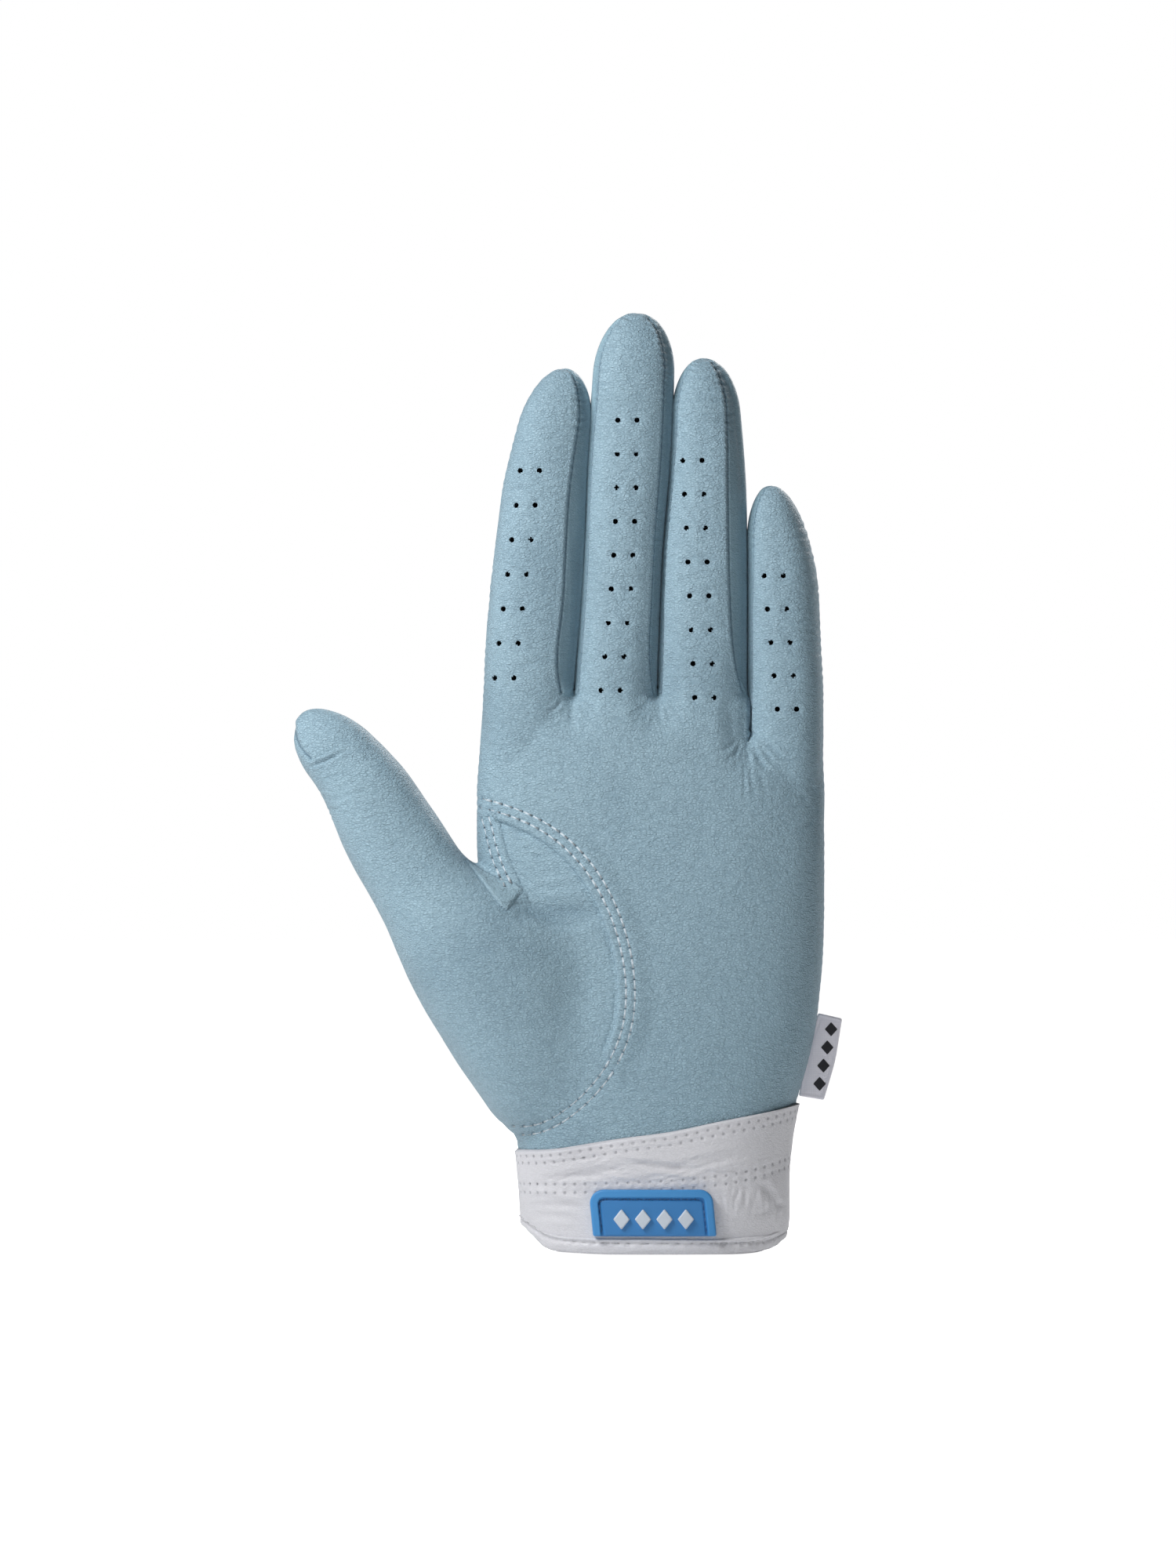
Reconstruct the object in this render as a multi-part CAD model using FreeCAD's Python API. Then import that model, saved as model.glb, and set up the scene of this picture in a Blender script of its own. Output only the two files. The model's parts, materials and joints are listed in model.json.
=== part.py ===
"""Golf glove for the left hand, shown as if a hand filled it: cuff down, fingers up, palm facing -Y.

The glove is cut and sewn from thin leather panels. A palm panel and a back panel meet along the outer side
of the index finger and at the little-finger side seam. Narrow side strips (fourchettes) join them between
the fingers. The thumb is a separate folded panel set into the palm, with a small gusset (quirk) in the
crotch between thumb and index finger. A white cuff band closes with a hook-and-loop tab across a slit in
the back of the wrist.

Every stall is divided at the knuckles, so that each length of leather is one rigid body on a hinge. On the
palm side a wedge of leather is left out at each knuckle: there the real leather wrinkles up as it bends.

Frame, in millimetres: +Z from the wrist to the fingertips, +X towards the little finger, +Y out of the back
of the hand. The origin is the centre of the hand opening, in the plane of the cuff's lower rim.
"""

import FreeCAD
import Part

import math
import os

from FreeCAD import Placement, Rotation, Vector

# ---------------------------------------------------------------- driving dimensions
LEATHER = 0.8  # thickness of one leather panel with its seam allowance pressed flat
SEAM_GAP = 0.3  # clear gap left at every sewn edge, so that panels touch through thread only
FINGER_GAP = 0.9  # free space between neighbouring finger stalls
OVAL_POWER = 2.4  # superellipse power of every stall section: 2 is an ellipse, more is boxier
OVAL_POINTS = 24  # interpolation points round one section
STRIP_HALF = 3.4  # half the height in Y of a side strip between two fingers
HOLE_R = 0.75  # radius of a ventilation hole
HOLE_SPACING = 4.5  # between the two holes of a row
HOLE_REACH, HOLE_FLOOR = 15.0, 3.0  # a hole's cutter spans these depths in front of the middle plane
WEB_DEPTH, WEB_THICK = 8.0, 1.4  # walls between the roots of neighbouring fingers
FAR = 400.0  # longer than anything here, for cutting tools
OUTSIDE = 60.0  # just clear of the glove, for prisms that run through its front or its back

# Knuckle bends at full curl, in degrees, from the palm out to the tip.
BENDS = (70.0, 80.0, 45.0)
THUMB_BENDS = (35.0, 50.0)
BEND_MARGIN = 1.5  # extra half-angle of each wedge, in degrees

# Palm tube: height, left edge, right edge, front (palm) face, back face.
PALM = [
    (0.0, -31.8, 30.2, -17.5, 17.5),
    (12.0, -32.4, 30.6, -17.8, 17.8),
    (30.0, -33.6, 31.8, -17.6, 17.4),
    (60.0, -38.0, 37.6, -17.4, 15.6),
    (95.0, -42.0, 39.2, -15.0, 13.0),
    (134.0, -41.0, 38.6, -10.2, 9.8),
]
CUFF_LEFT_TOP, CUFF_RIGHT_TOP = 22.8, 34.2  # the cuff's upper edge climbs to the little-finger side
CUFF_MID_LEFT, CUFF_MID_RIGHT = 15.2, 19.6  # seam between the two rows of white leather on the palm side
CUFF_SPAN = 64.0  # width of the wrist over which those seams climb
RIM, RIM_LIFT, RIM_TURN_IN = 3.6, 0.3, 0.5  # bound rim: height, how far it stands out and laps inside
CUFF_LEATHER = 1.3  # the cuff is two thin leathers, turned and stitched

# One entry per finger: side strips it has, crotch height, tip height, tip X, its left and right edges at the
# crotch, middle knuckle, end knuckle and start of the rounded tip, and its ventilation holes, as the middle of
# the lowest row, the middle of the highest row and the number of rows.
FINGERS = {
    "index": {
        "strips": ("right",),
        "root": 132.0,
        "tip": 207.2,
        "tip_x": -23.9,
        "edges": [(-41.0, -19.4), (-38.2, -17.3), (-35.3, -16.4), (-32.6, -15.7)],
        "holes": ((-36.0, 134.5), (-30.0, 183.0), 7),
    },
    "middle": {
        "strips": ("left", "right"),
        "root": 132.0,
        "tip": 220.2,
        "tip_x": -5.4,
        "edges": [(-19.4, -0.1), (-17.3, 1.6), (-16.0, 3.2), (-15.4, 3.6)],
        "holes": ((-11.1, 131.6), (-7.2, 194.8), 9),
    },
    "ring": {
        "strips": ("left", "right"),
        "root": 132.0,
        "tip": 209.6,
        "tip_x": 10.8,
        "edges": [(-0.1, 20.8), (1.6, 20.9), (3.2, 20.5), (4.2, 19.6)],
        "holes": ((10.8, 129.9), (8.0, 185.4), 8),
    },
    "little": {
        "strips": ("left",),
        "root": 122.2,
        "tip": 179.6,
        "tip_x": 26.8,
        "edges": [(20.8, 38.8), (20.9, 38.0), (21.2, 36.2), (21.6, 34.2)],
        "holes": ((30.1, 127.2), (27.0, 158.4), 5),
    },
}
KNUCKLES = (0.42, 0.70)  # middle and end knuckle, as shares of the length from crotch to tip
TIP_START = 0.85  # share at which the tip starts to round off
FINGER_DEPTH = (8.6, 8.2, 7.6, 7.0)  # half depth at the same four places

# Thumb, in its own frame: local Z runs along the thumb, tilted by THUMB_TILT from the vertical.
THUMB_ORIGIN = Vector(-46.0, 0.0, 71.0)
THUMB_TILT = -32.0
THUMB_JOINTS = (17.0, 41.0)
THUMB_END = 66.6
THUMB_SECTIONS = [
    (-40.0, -12.6, 6.0, -18.6, 9.0),
    (-26.0, -13.6, 20.0, -21.6, 11.0),
    (-8.0, -13.8, 22.0, -21.0, 10.0),
    (6.0, -13.0, 15.0, -17.6, 8.0),
    (17.0, -12.0, 12.4, -15.2, 5.6),
    (30.0, -11.3, 11.3, -14.4, 4.8),
    (45.0, -9.0, 10.2, -14.0, 3.8),
    (56.0, -8.8, 7.2, -12.8, 2.0),
]
THUMB_TIP_T = -2.0  # local X of the very tip
THUMB_SEAM = [
    (-43.0, 104.5),
    (-28.0, 99.5),
    (-15.5, 88.0),
    (-8.6, 71.0),
    (-8.3, 53.0),
    (-15.8, 39.0),
    (-27.7, 30.2),
    (-36.5, 30.3),
]
SEAM_STEPS = 40  # straight pieces that stand for the curve when leather is cut along it
THUMB_BACK_SEAM = [(-33.0, 24.0), (-34.5, 50.0), (-38.0, 78.0), (-43.5, 104.5)]
THUMB_DEPTH_CENTRE = -5.2  # local Y of the thumb's hinges and tip

# Closure across the slit in the back of the wrist.
SLIT_X, SLIT_WIDTH, SLIT_TOP = -2.0, 3.0, 52.0
SLIT_BINDING = 1.4  # width of the strip that binds the slit's edge
TAB_ROOT_X, TAB_END_X = -19.0, 24.0
TAB_LOW, TAB_HIGH = 7.0, 29.0
TAB_CORNER = 8.0
TAB_LEATHER = 1.3
PAD = 1.1  # thickness of the hook pad, and of the loop pad
PAD_GAP = 0.2

# Linings out of sight inside the wrist.
ELASTIC_HALF, ELASTIC_LOW, ELASTIC_HIGH, ELASTIC_INSET, ELASTIC_THICK = 26.0, 8.0, 14.0, 0.7, 1.0
LABEL = (-24.0, -12.0, 34.0, 52.0)  # left, right, low and high edge of the size label
LABEL_INSET, LABEL_THICK = 0.4, 0.4


# ---------------------------------------------------------------- small helpers
def signed_power(value, power):
    return math.copysign(abs(value) ** power, value)


def oval(z, left, right, front, back):
    """Closed superellipse wire in the plane at height z."""
    centre_x, centre_y = (left + right) / 2, (front + back) / 2
    half_x, half_y = (right - left) / 2, (back - front) / 2
    points = []
    for i in range(OVAL_POINTS):
        turn = 2 * math.pi * i / OVAL_POINTS
        x = centre_x + half_x * signed_power(math.cos(turn), 2 / OVAL_POWER)
        y = centre_y + half_y * signed_power(math.sin(turn), 2 / OVAL_POWER)
        points.append(Vector(x, y, z))
    curve = Part.BSplineCurve()
    curve.interpolate(Points=points, PeriodicFlag=True)
    return Part.Wire(curve.toShape())


def tube(sections, grow=0.0):
    """Solid lofted through (z, left, right, front, back) sections, each grown outwards by grow."""
    wires = [oval(z, a - grow, b + grow, c - grow, d + grow) for z, a, b, c, d in sections]
    return Part.makeLoft(wires, True, True)


def block(x0, x1, y0, y1, z0, z1):
    return Part.makeBox(x1 - x0, y1 - y0, z1 - z0, Vector(x0, y0, z0))


def across(outline, x0, x1):
    """Prism along X from a closed outline of (y, z) points."""
    points = [Vector(x0, y, z) for y, z in outline]
    face = Part.Face(Part.makePolygon(points + points[:1]))
    return face.extrude(Vector(x1 - x0, 0, 0))


def through(outline, y0, y1):
    """Prism along Y from a closed outline of (x, z) points."""
    points = [Vector(x, y0, z) for x, z in outline]
    face = Part.Face(Part.makePolygon(points + points[:1]))
    return face.extrude(Vector(0, y1 - y0, 0))


def rounded(x0, x1, z0, z1, corner, y0, y1, square_left=False):
    """Prism along Y from a rectangle in X and Z with rounded corners."""
    body = block(x0, x1, y0, y1, z0, z1)
    upright = [e for e in body.Edges if abs(e.BoundBox.YLength - (y1 - y0)) < 1e-6]
    if square_left:
        upright = [e for e in upright if e.BoundBox.XMin > (x0 + x1) / 2]
    return body.makeFillet(corner, upright)


def clean(shape):
    """Drops slivers that a cut leaves behind, and keeps the real solids as one shape."""
    solids = [s for s in shape.Solids if s.Volume > 2.0]
    return solids[0] if len(solids) == 1 else Part.makeCompound(solids)


def write(name, shape):
    shape = clean(shape)
    assert shape.isValid() and shape.Volume > 0, name
    shape.exportStep(f"parts/{name}.step")


# ---------------------------------------------------------------- stalls: fingers and thumb
def dome(z0, z1, start, tip_x, depth_centre):
    """Sections that round a stall off from its last full section to its tip."""
    _, left, right, front, back = start
    centre_x, centre_y = (left + right) / 2, (front + back) / 2
    sections = []
    for turn in (30, 55, 74, 86):
        shrink = math.cos(math.radians(turn))
        rise = math.sin(math.radians(turn))
        x = centre_x + (tip_x - centre_x) * rise
        y = centre_y + (depth_centre - centre_y) * rise
        half_x, half_y = (right - left) / 2 * shrink, (back - front) / 2 * shrink
        sections.append((z0 + (z1 - z0) * rise, x - half_x, x + half_x, y - half_y, y + half_y))
    return sections


def finger_sections(finger):
    """Full-size sections of one finger, narrowed by half the gap to its neighbours."""
    length = finger["tip"] - finger["root"]
    shares = (0.0, *KNUCKLES, TIP_START)
    sections = []
    for share, (left, right), depth in zip(shares, finger["edges"], FINGER_DEPTH):
        half_gap_left = FINGER_GAP / 2 if "left" in finger["strips"] else 0
        half_gap_right = FINGER_GAP / 2 if "right" in finger["strips"] else 0
        z = finger["root"] + share * length
        sections.append((z, left + half_gap_left, right - half_gap_right, -depth, depth))
    z, last = sections[-1][0], sections[-1]
    return sections + dome(z, finger["tip"], last, finger["tip_x"], 0.0)


def lining(sections, full_sections):
    """Sections of the space inside a stall: open at the root, one leather short of the tip."""
    inner = [(z - LEATHER * (i >= full_sections), *rest) for i, (z, *rest) in enumerate(sections)]
    inner[0] = (inner[0][0] - 0.5, *inner[0][1:])
    return inner


def wedge_height(depth, bend):
    """How far a hinged edge is cut back at this depth in front of the hinge, so that it can bend."""
    return abs(depth) * math.tan(math.radians(bend / 2 + BEND_MARGIN))


def between_hinges(low, high, low_bend, high_bend, hinge_y=0.0, depth=10.0, back=22.0):
    """Region between two hinges as seen from the side, with the palm-side wedges taken off."""
    front = hinge_y - depth
    bottom, top = low + SEAM_GAP / 2, high - SEAM_GAP / 2
    outline = [
        (back, bottom),
        (hinge_y, bottom),
        (front, bottom + (wedge_height(depth, low_bend) if low_bend else 0)),
        (front, top - (wedge_height(depth, high_bend) if high_bend else 0)),
        (hinge_y, top),
        (back, top),
    ]
    return across(outline, -FAR / 2, FAR / 2)


def side_regions(finger, centre_x):
    """Boxes that hold the side strips of a finger."""
    regions = []
    for side in finger["strips"]:
        half = SEAM_GAP / 2
        x0, x1 = (-FAR, centre_x - half) if side == "left" else (centre_x + half, FAR)
        regions.append((x0, x1, -STRIP_HALF, STRIP_HALF))
    return regions


def finger_holes(finger):
    """Pairs of ventilation holes down the front of a finger."""
    (x0, z0), (x1, z1), rows = finger["holes"]
    tools = []
    for row in range(rows):
        share = row / (rows - 1)
        centre, z = x0 + (x1 - x0) * share, z0 + (z1 - z0) * share
        for side in (-0.5, 0.5):
            start = Vector(centre + side * HOLE_SPACING, -HOLE_REACH, z)
            tools.append(Part.makeCylinder(HOLE_R, HOLE_REACH - HOLE_FLOOR, start, Vector(0, 1, 0)))
    return tools


def make_finger(name, finger):
    sections = finger_sections(finger)
    outer, inner = tube(sections), tube(lining(sections, len(FINGER_DEPTH)), -LEATHER)
    length = finger["tip"] - finger["root"]
    hinges = [finger["root"]] + [finger["root"] + share * length for share in KNUCKLES]
    tops = hinges[1:] + [finger["tip"] + 10]
    bends = BENDS + (0.0,)
    holes = finger_holes(finger)
    for i, part in enumerate(("proximal", "middle", "distal")):
        region = between_hinges(hinges[i], tops[i], bends[i], bends[i + 1])
        length_of_stall = outer.common(region).cut(inner)
        box = length_of_stall.BoundBox
        regions = side_regions(finger, (box.XMin + box.XMax) / 2)
        z0, z1 = box.ZMin - 1, box.ZMax + 1
        strips = [length_of_stall.common(block(*r, z0, z1)) for r in regions]
        grown = [
            block(r[0], r[1], r[2] - SEAM_GAP, r[3] + SEAM_GAP, z0, z1) for r in regions
        ]
        front = length_of_stall.common(block(-FAR, FAR, -FAR, -SEAM_GAP / 2, z0, z1)).cut(grown)
        here = [h for h in holes if z0 < h.BoundBox.Center.z < z1]
        if here:
            front = front.cut(here)
        back = length_of_stall.common(block(-FAR, FAR, SEAM_GAP / 2, FAR, z0, z1)).cut(grown)
        write(f"{name}_{part}_front_leather", front)
        write(f"{name}_{part}_back_leather", back)
        write(f"{name}_{part}_side_strip", Part.makeCompound(strips))


def thumb_place(shape):
    shape = shape.copy()
    shape.Placement = Placement(THUMB_ORIGIN, Rotation(Vector(0, 1, 0), THUMB_TILT))
    return shape


def thumb_all_sections():
    last = THUMB_SECTIONS[-1]
    return THUMB_SECTIONS + dome(last[0], THUMB_END, last, THUMB_TIP_T, THUMB_DEPTH_CENTRE)


def thumb_lengths():
    """Regions of the three lengths of the thumb, in its own frame."""
    low, high = THUMB_JOINTS
    first, second = THUMB_BENDS
    hinge_y = THUMB_DEPTH_CENTRE
    return {
        "base": between_hinges(-80.0, low, 0.0, first, hinge_y, 18.0, 30.0),
        "middle": between_hinges(low, high, first, second, hinge_y, 14.0),
        "tip": between_hinges(high, THUMB_END + 10, second, 0.0, hinge_y, 14.0),
    }


def thumb_solids(grow=0.0):
    """The thumb filled solid, and the space inside it, both in the glove's frame."""
    sections = thumb_all_sections()
    outer = tube(sections, grow)
    inner = tube(lining(sections, len(THUMB_SECTIONS)), -LEATHER)
    return thumb_place(outer), thumb_place(inner)


def make_thumb():
    """The two moving lengths of the thumb stall."""
    outer, inner = thumb_solids()
    palm = tube(PALM, SEAM_GAP)
    for name in ("middle", "tip"):
        region = thumb_place(thumb_lengths()[name])
        write(f"thumb_{name}_leather", outer.common(region).cut(inner).cut(palm))


# ---------------------------------------------------------------- palm, back and cuff
def cuff_edge(left_z, right_z):
    """Region below a straight seam that climbs from left_z to right_z across the wrist."""
    middle = (left_z + right_z) / 2
    climb = (right_z - left_z) / CUFF_SPAN * OUTSIDE
    outline = [(-OUTSIDE, -5), (OUTSIDE, -5), (OUTSIDE, middle + climb), (-OUTSIDE, middle - climb)]
    return through(outline, -OUTSIDE, OUTSIDE)


def finger_root_cuts():
    """Takes the palm tube away above each finger's hinge, bevelled on the palm side."""
    cuts = []
    for finger in FINGERS.values():
        left, right = finger["edges"][0]
        if "left" not in finger["strips"]:
            left -= 10
        if "right" not in finger["strips"]:
            right += 10
        z, front = finger["root"] - SEAM_GAP / 2, -20.0
        drop = wedge_height(front, BENDS[0])
        outline = [(0, z), (front, z - drop), (front, z + 40), (20, z + 40), (20, z)]
        cuts.append(across(outline, left, right))
    return cuts


def slit_tool(grow):
    """Slot through the back of the wrist, with a round upper end."""
    half = SLIT_WIDTH / 2 + grow
    slot = block(SLIT_X - half, SLIT_X + half, 2, 40, -5, SLIT_TOP)
    end = Part.makeCylinder(half, 38, Vector(SLIT_X, 2, SLIT_TOP), Vector(0, 1, 0))
    return slot.fuse(end)


def seam_curve():
    """Line of the seam that joins the thumb panel to the palm, as seen from the palm side."""
    curve = Part.BSplineCurve()
    curve.interpolate([Vector(x, 0, z) for x, z in THUMB_SEAM])
    return curve.discretize(SEAM_STEPS)


def seam_normal(points, i):
    """Direction across the seam at one of its points, towards the palm."""
    along = points[min(i + 1, len(points) - 1)] - points[max(i - 1, 0)]
    return Vector(-along.z, 0, along.x).normalize()


def thumb_zone(gap):
    """Everything on the thumb's side of its seams, in front and at the back, less half a gap."""
    points = seam_curve()
    edge = [points[i] - seam_normal(points, i) * gap for i in range(len(points))]
    front = [(p.x, p.z) for p in edge] + [(-FAR, edge[-1].z), (-FAR, FAR), (edge[0].x, FAR)]
    back = [(x - gap, z) for x, z in THUMB_BACK_SEAM] + [(-FAR, FAR), (-FAR, THUMB_BACK_SEAM[0][1])]
    return through(front, -OUTSIDE, 0).fuse(through(back, 0, OUTSIDE))


def crotch_webs(root_cuts):
    """Short walls inside the palm that join the front and back leather between the fingers."""
    names = list(FINGERS)
    webs = []
    for first, second in zip(names, names[1:]):
        x = FINGERS[first]["edges"][0][1]
        low = FINGERS[second]["root"] - WEB_DEPTH
        high = min(FINGERS[first]["root"], FINGERS[second]["root"]) - SEAM_GAP
        webs.append(block(x - WEB_THICK / 2, x + WEB_THICK / 2, -FAR, FAR, low, high))
    return Part.makeCompound(webs).common(tube(PALM, -LEATHER - SEAM_GAP)).cut(root_cuts)


def make_body():
    outer, inner = tube(PALM), tube(PALM, -LEATHER)
    thumb_outer, thumb_inner = thumb_solids()
    above_cuff = cuff_edge(CUFF_LEFT_TOP, CUFF_RIGHT_TOP)
    below_thumb_hinge = thumb_place(thumb_lengths()["base"])
    zone = thumb_zone(SEAM_GAP / 2)
    root_cuts = finger_root_cuts()

    palm_leather = outer.cut(inner).cut(above_cuff).cut(root_cuts)
    front = palm_leather.common(block(-FAR, FAR, -FAR, -SEAM_GAP / 2, -1, FAR))
    back = palm_leather.common(block(-FAR, FAR, SEAM_GAP / 2, FAR, -1, FAR))
    keep_out = thumb_zone(-SEAM_GAP / 2)
    write("palm_panel", front.cut(keep_out))
    write("back_panel", back.cut(keep_out).cut(slit_tool(SLIT_BINDING + SEAM_GAP)))

    stall = thumb_outer.cut(thumb_inner).cut(outer).common(below_thumb_hinge).common(zone)
    patches = [half.cut(thumb_outer).common(zone) for half in (front, back)]
    write("thumb_panel", Part.makeCompound([s for piece in (stall, *patches) for s in piece.Solids]))
    write("crotch_webs", crotch_webs(root_cuts))


def make_cuff():
    """White cuff: two rows on the palm side, one on each side of the slit, and a bound rim."""
    wall = tube(PALM, CUFF_LEATHER - LEATHER).cut(tube(PALM, -LEATHER))
    below_top = cuff_edge(CUFF_LEFT_TOP - SEAM_GAP, CUFF_RIGHT_TOP - SEAM_GAP)
    band = wall.common(below_top).cut(block(-FAR, FAR, -FAR, FAR, -5, RIM + SEAM_GAP))
    half = SEAM_GAP / 2
    front = band.common(block(-FAR, FAR, -FAR, -half, -1, FAR))
    write("cuff_upper_band", front.cut(cuff_edge(CUFF_MID_LEFT, CUFF_MID_RIGHT)))
    write(
        "cuff_lower_band",
        front.common(cuff_edge(CUFF_MID_LEFT - SEAM_GAP, CUFF_MID_RIGHT - SEAM_GAP)),
    )
    back = band.common(block(-FAR, FAR, half, FAR, -1, FAR)).cut(slit_tool(SLIT_BINDING + SEAM_GAP))
    write("cuff_back_thumb_side", back.common(block(-FAR, SLIT_X, 0, FAR, -1, FAR)))
    write("cuff_back_little_side", back.common(block(SLIT_X, FAR, 0, FAR, -1, FAR)))
    rim = tube(PALM, CUFF_LEATHER - LEATHER + RIM_LIFT).cut(tube(PALM, -LEATHER - RIM_TURN_IN))
    rim = rim.common(block(-FAR, FAR, -FAR, FAR, 0, RIM)).cut(slit_tool(SLIT_BINDING + SEAM_GAP))
    write("cuff_rim_binding", rim)
    trim = wall.common(slit_tool(SLIT_BINDING)).cut(slit_tool(0))
    write("slit_binding", trim)


def make_linings():
    """Shirred elastic across the palm side of the wrist, and a blank size label at the back."""
    face = -LEATHER - ELASTIC_INSET
    elastic = tube(PALM, face).cut(tube(PALM, face - ELASTIC_THICK))
    stretch = block(-ELASTIC_HALF, ELASTIC_HALF, -FAR, -4, ELASTIC_LOW, ELASTIC_HIGH)
    write("wrist_elastic", elastic.common(stretch))
    face = -LEATHER - LABEL_INSET
    label = tube(PALM, face).cut(tube(PALM, face - LABEL_THICK))
    write("size_label", label.common(rounded(*LABEL, 1.0, 3, OUTSIDE)))


def make_closure():
    """Loop pad on the cuff, and the tab with its hook pad that closes over it."""
    layers = [CUFF_LEATHER - LEATHER + RIM_LIFT + SEAM_GAP + 0.1]
    for thickness in (PAD, PAD_GAP, PAD, SEAM_GAP, TAB_LEATHER):
        layers.append(layers[-1] + thickness)

    def layer(i, region):
        return tube(PALM, layers[i + 1]).cut(tube(PALM, layers[i])).common(region)

    pad_low, pad_high = TAB_LOW + 3.0, TAB_HIGH - 3.0
    loop = rounded(SLIT_X + 4.5, TAB_END_X - 1.0, pad_low - 1.5, pad_high + 1.5, 2.0, 2, 40)
    write("loop_pad", layer(0, loop))
    hook = rounded(SLIT_X + 6.0, TAB_END_X - 2.5, pad_low, pad_high, 4.0, 2, 40)
    write("hook_pad", layer(2, hook))
    tab = rounded(TAB_ROOT_X, TAB_END_X, TAB_LOW, TAB_HIGH, TAB_CORNER, 2, 60, square_left=True)
    write("closure_tab", layer(4, tab))
    root = block(TAB_ROOT_X - 7.0, TAB_ROOT_X - SEAM_GAP, 2, 40, TAB_LOW, TAB_HIGH)
    write("tab_root", tube(PALM, layers[5]).cut(tube(PALM, layers[0])).common(root))


# ---------------------------------------------------------------- trims
BADGE_X0, BADGE_X1, BADGE_Z0, BADGE_Z1 = -15.8, 13.2, 4.4, 15.0
BADGE_CORNER, BADGE_THICK = 2.4, 1.2
BADGE_BASE = CUFF_LEATHER - LEATHER + 0.5
MARKS, MARK_STEP, MARK_HALF_WIDTH, MARK_HALF_HEIGHT = 4, 5.2, 2.0, 2.6
MARK_THICK, MARK_GAP, MARK_DROP = 0.5, 0.1, 0.5  # the marks sit a little below the badge's middle


def make_badge():
    """Moulded rubber badge stitched to the cuff, with a row of raised diamond marks."""
    outline = rounded(BADGE_X0, BADGE_X1, BADGE_Z0, BADGE_Z1, BADGE_CORNER, -OUTSIDE, -2)
    body = tube(PALM, BADGE_BASE + BADGE_THICK).cut(tube(PALM, BADGE_BASE)).common(outline)
    write("badge", body)
    top = BADGE_BASE + BADGE_THICK + MARK_GAP
    relief = tube(PALM, top + MARK_THICK).cut(tube(PALM, top))
    middle_z = (BADGE_Z0 + BADGE_Z1) / 2 - MARK_DROP
    first = (BADGE_X0 + BADGE_X1) / 2 - MARK_STEP * (MARKS - 1) / 2
    marks = []
    for i in range(MARKS):
        x = first + MARK_STEP * i
        low, high = middle_z - MARK_HALF_HEIGHT, middle_z + MARK_HALF_HEIGHT
        diamond = [(x - MARK_HALF_WIDTH, middle_z), (x, low), (x + MARK_HALF_WIDTH, middle_z), (x, high)]
        marks.append(relief.common(through(diamond, -OUTSIDE, -2)))
    shape = Part.makeCompound([s for m in marks for s in m.Solids])
    assert len(shape.Solids) == MARKS
    shape.exportStep("parts/badge_marks.step")


TAG_THICK = 0.6
SEAM_EDGE_HALF = 1.8
QUIRK = [(-44.5, 92.0), (-42.8, 104.0), (-39.0, 103.0), (-31.5, 84.0), (-35.5, 80.5)]


def make_tag():
    """Folded woven tag sewn into the little-finger side seam."""
    outline = [(33.6, 36.4), (39.6, 35.6), (43.0, 46.0), (43.2, 54.2), (37.8, 55.4), (37.8, 50.0)]
    plate = through(outline, -TAG_THICK / 2, TAG_THICK / 2)
    write("side_tag", plate.cut(tube(PALM, SEAM_GAP)))


def make_thumb_trims():
    """The turned edge of the palm panel round the thumb, and the gusset in the thumb crotch."""
    skin = tube(PALM, SEAM_GAP + LEATHER).cut(tube(PALM, SEAM_GAP))
    stall = thumb_solids(SEAM_GAP)[0]
    points = seam_curve()
    steps = range(len(points))
    left = [points[i] - seam_normal(points, i) * SEAM_EDGE_HALF for i in steps]
    right = [points[i] + seam_normal(points, i) * SEAM_EDGE_HALF for i in steps]
    ribbon = through([(p.x, p.z) for p in left + right[::-1]], -40, -1)
    write("thumb_seam_edge", skin.common(ribbon).cut(stall))
    over = tube(PALM, 2 * (SEAM_GAP + LEATHER)).cut(tube(PALM, 2 * SEAM_GAP + LEATHER))
    write("thumb_quirk", over.common(through(QUIRK, -40, -1)).cut(stall))


def main():
    os.makedirs("parts", exist_ok=True)
    for name, finger in FINGERS.items():
        make_finger(name, finger)
    make_thumb()
    make_body()
    make_cuff()
    make_linings()
    make_closure()
    make_badge()
    make_tag()
    make_thumb_trims()


main()
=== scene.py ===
import json
import math

import bmesh
import bpy
import numpy as np
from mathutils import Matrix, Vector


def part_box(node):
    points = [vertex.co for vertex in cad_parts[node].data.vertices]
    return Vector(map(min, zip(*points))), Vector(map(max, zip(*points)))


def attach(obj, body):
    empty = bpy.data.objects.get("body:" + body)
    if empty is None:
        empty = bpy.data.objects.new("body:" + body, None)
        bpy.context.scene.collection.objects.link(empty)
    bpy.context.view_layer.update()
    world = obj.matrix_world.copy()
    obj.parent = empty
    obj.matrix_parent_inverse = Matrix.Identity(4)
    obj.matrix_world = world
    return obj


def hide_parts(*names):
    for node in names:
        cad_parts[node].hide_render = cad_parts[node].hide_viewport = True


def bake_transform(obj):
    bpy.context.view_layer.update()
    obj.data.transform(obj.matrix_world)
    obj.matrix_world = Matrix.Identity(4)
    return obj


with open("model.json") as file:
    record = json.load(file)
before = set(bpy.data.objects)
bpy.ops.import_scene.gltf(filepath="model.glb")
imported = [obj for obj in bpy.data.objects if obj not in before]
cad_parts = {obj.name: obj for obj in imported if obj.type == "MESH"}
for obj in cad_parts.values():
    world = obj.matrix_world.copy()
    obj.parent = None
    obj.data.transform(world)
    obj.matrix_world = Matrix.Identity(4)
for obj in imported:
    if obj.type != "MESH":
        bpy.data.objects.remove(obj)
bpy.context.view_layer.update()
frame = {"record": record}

import openvdb
from mathutils import Vector
from mathutils.bvhtree import BVHTree

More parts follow.
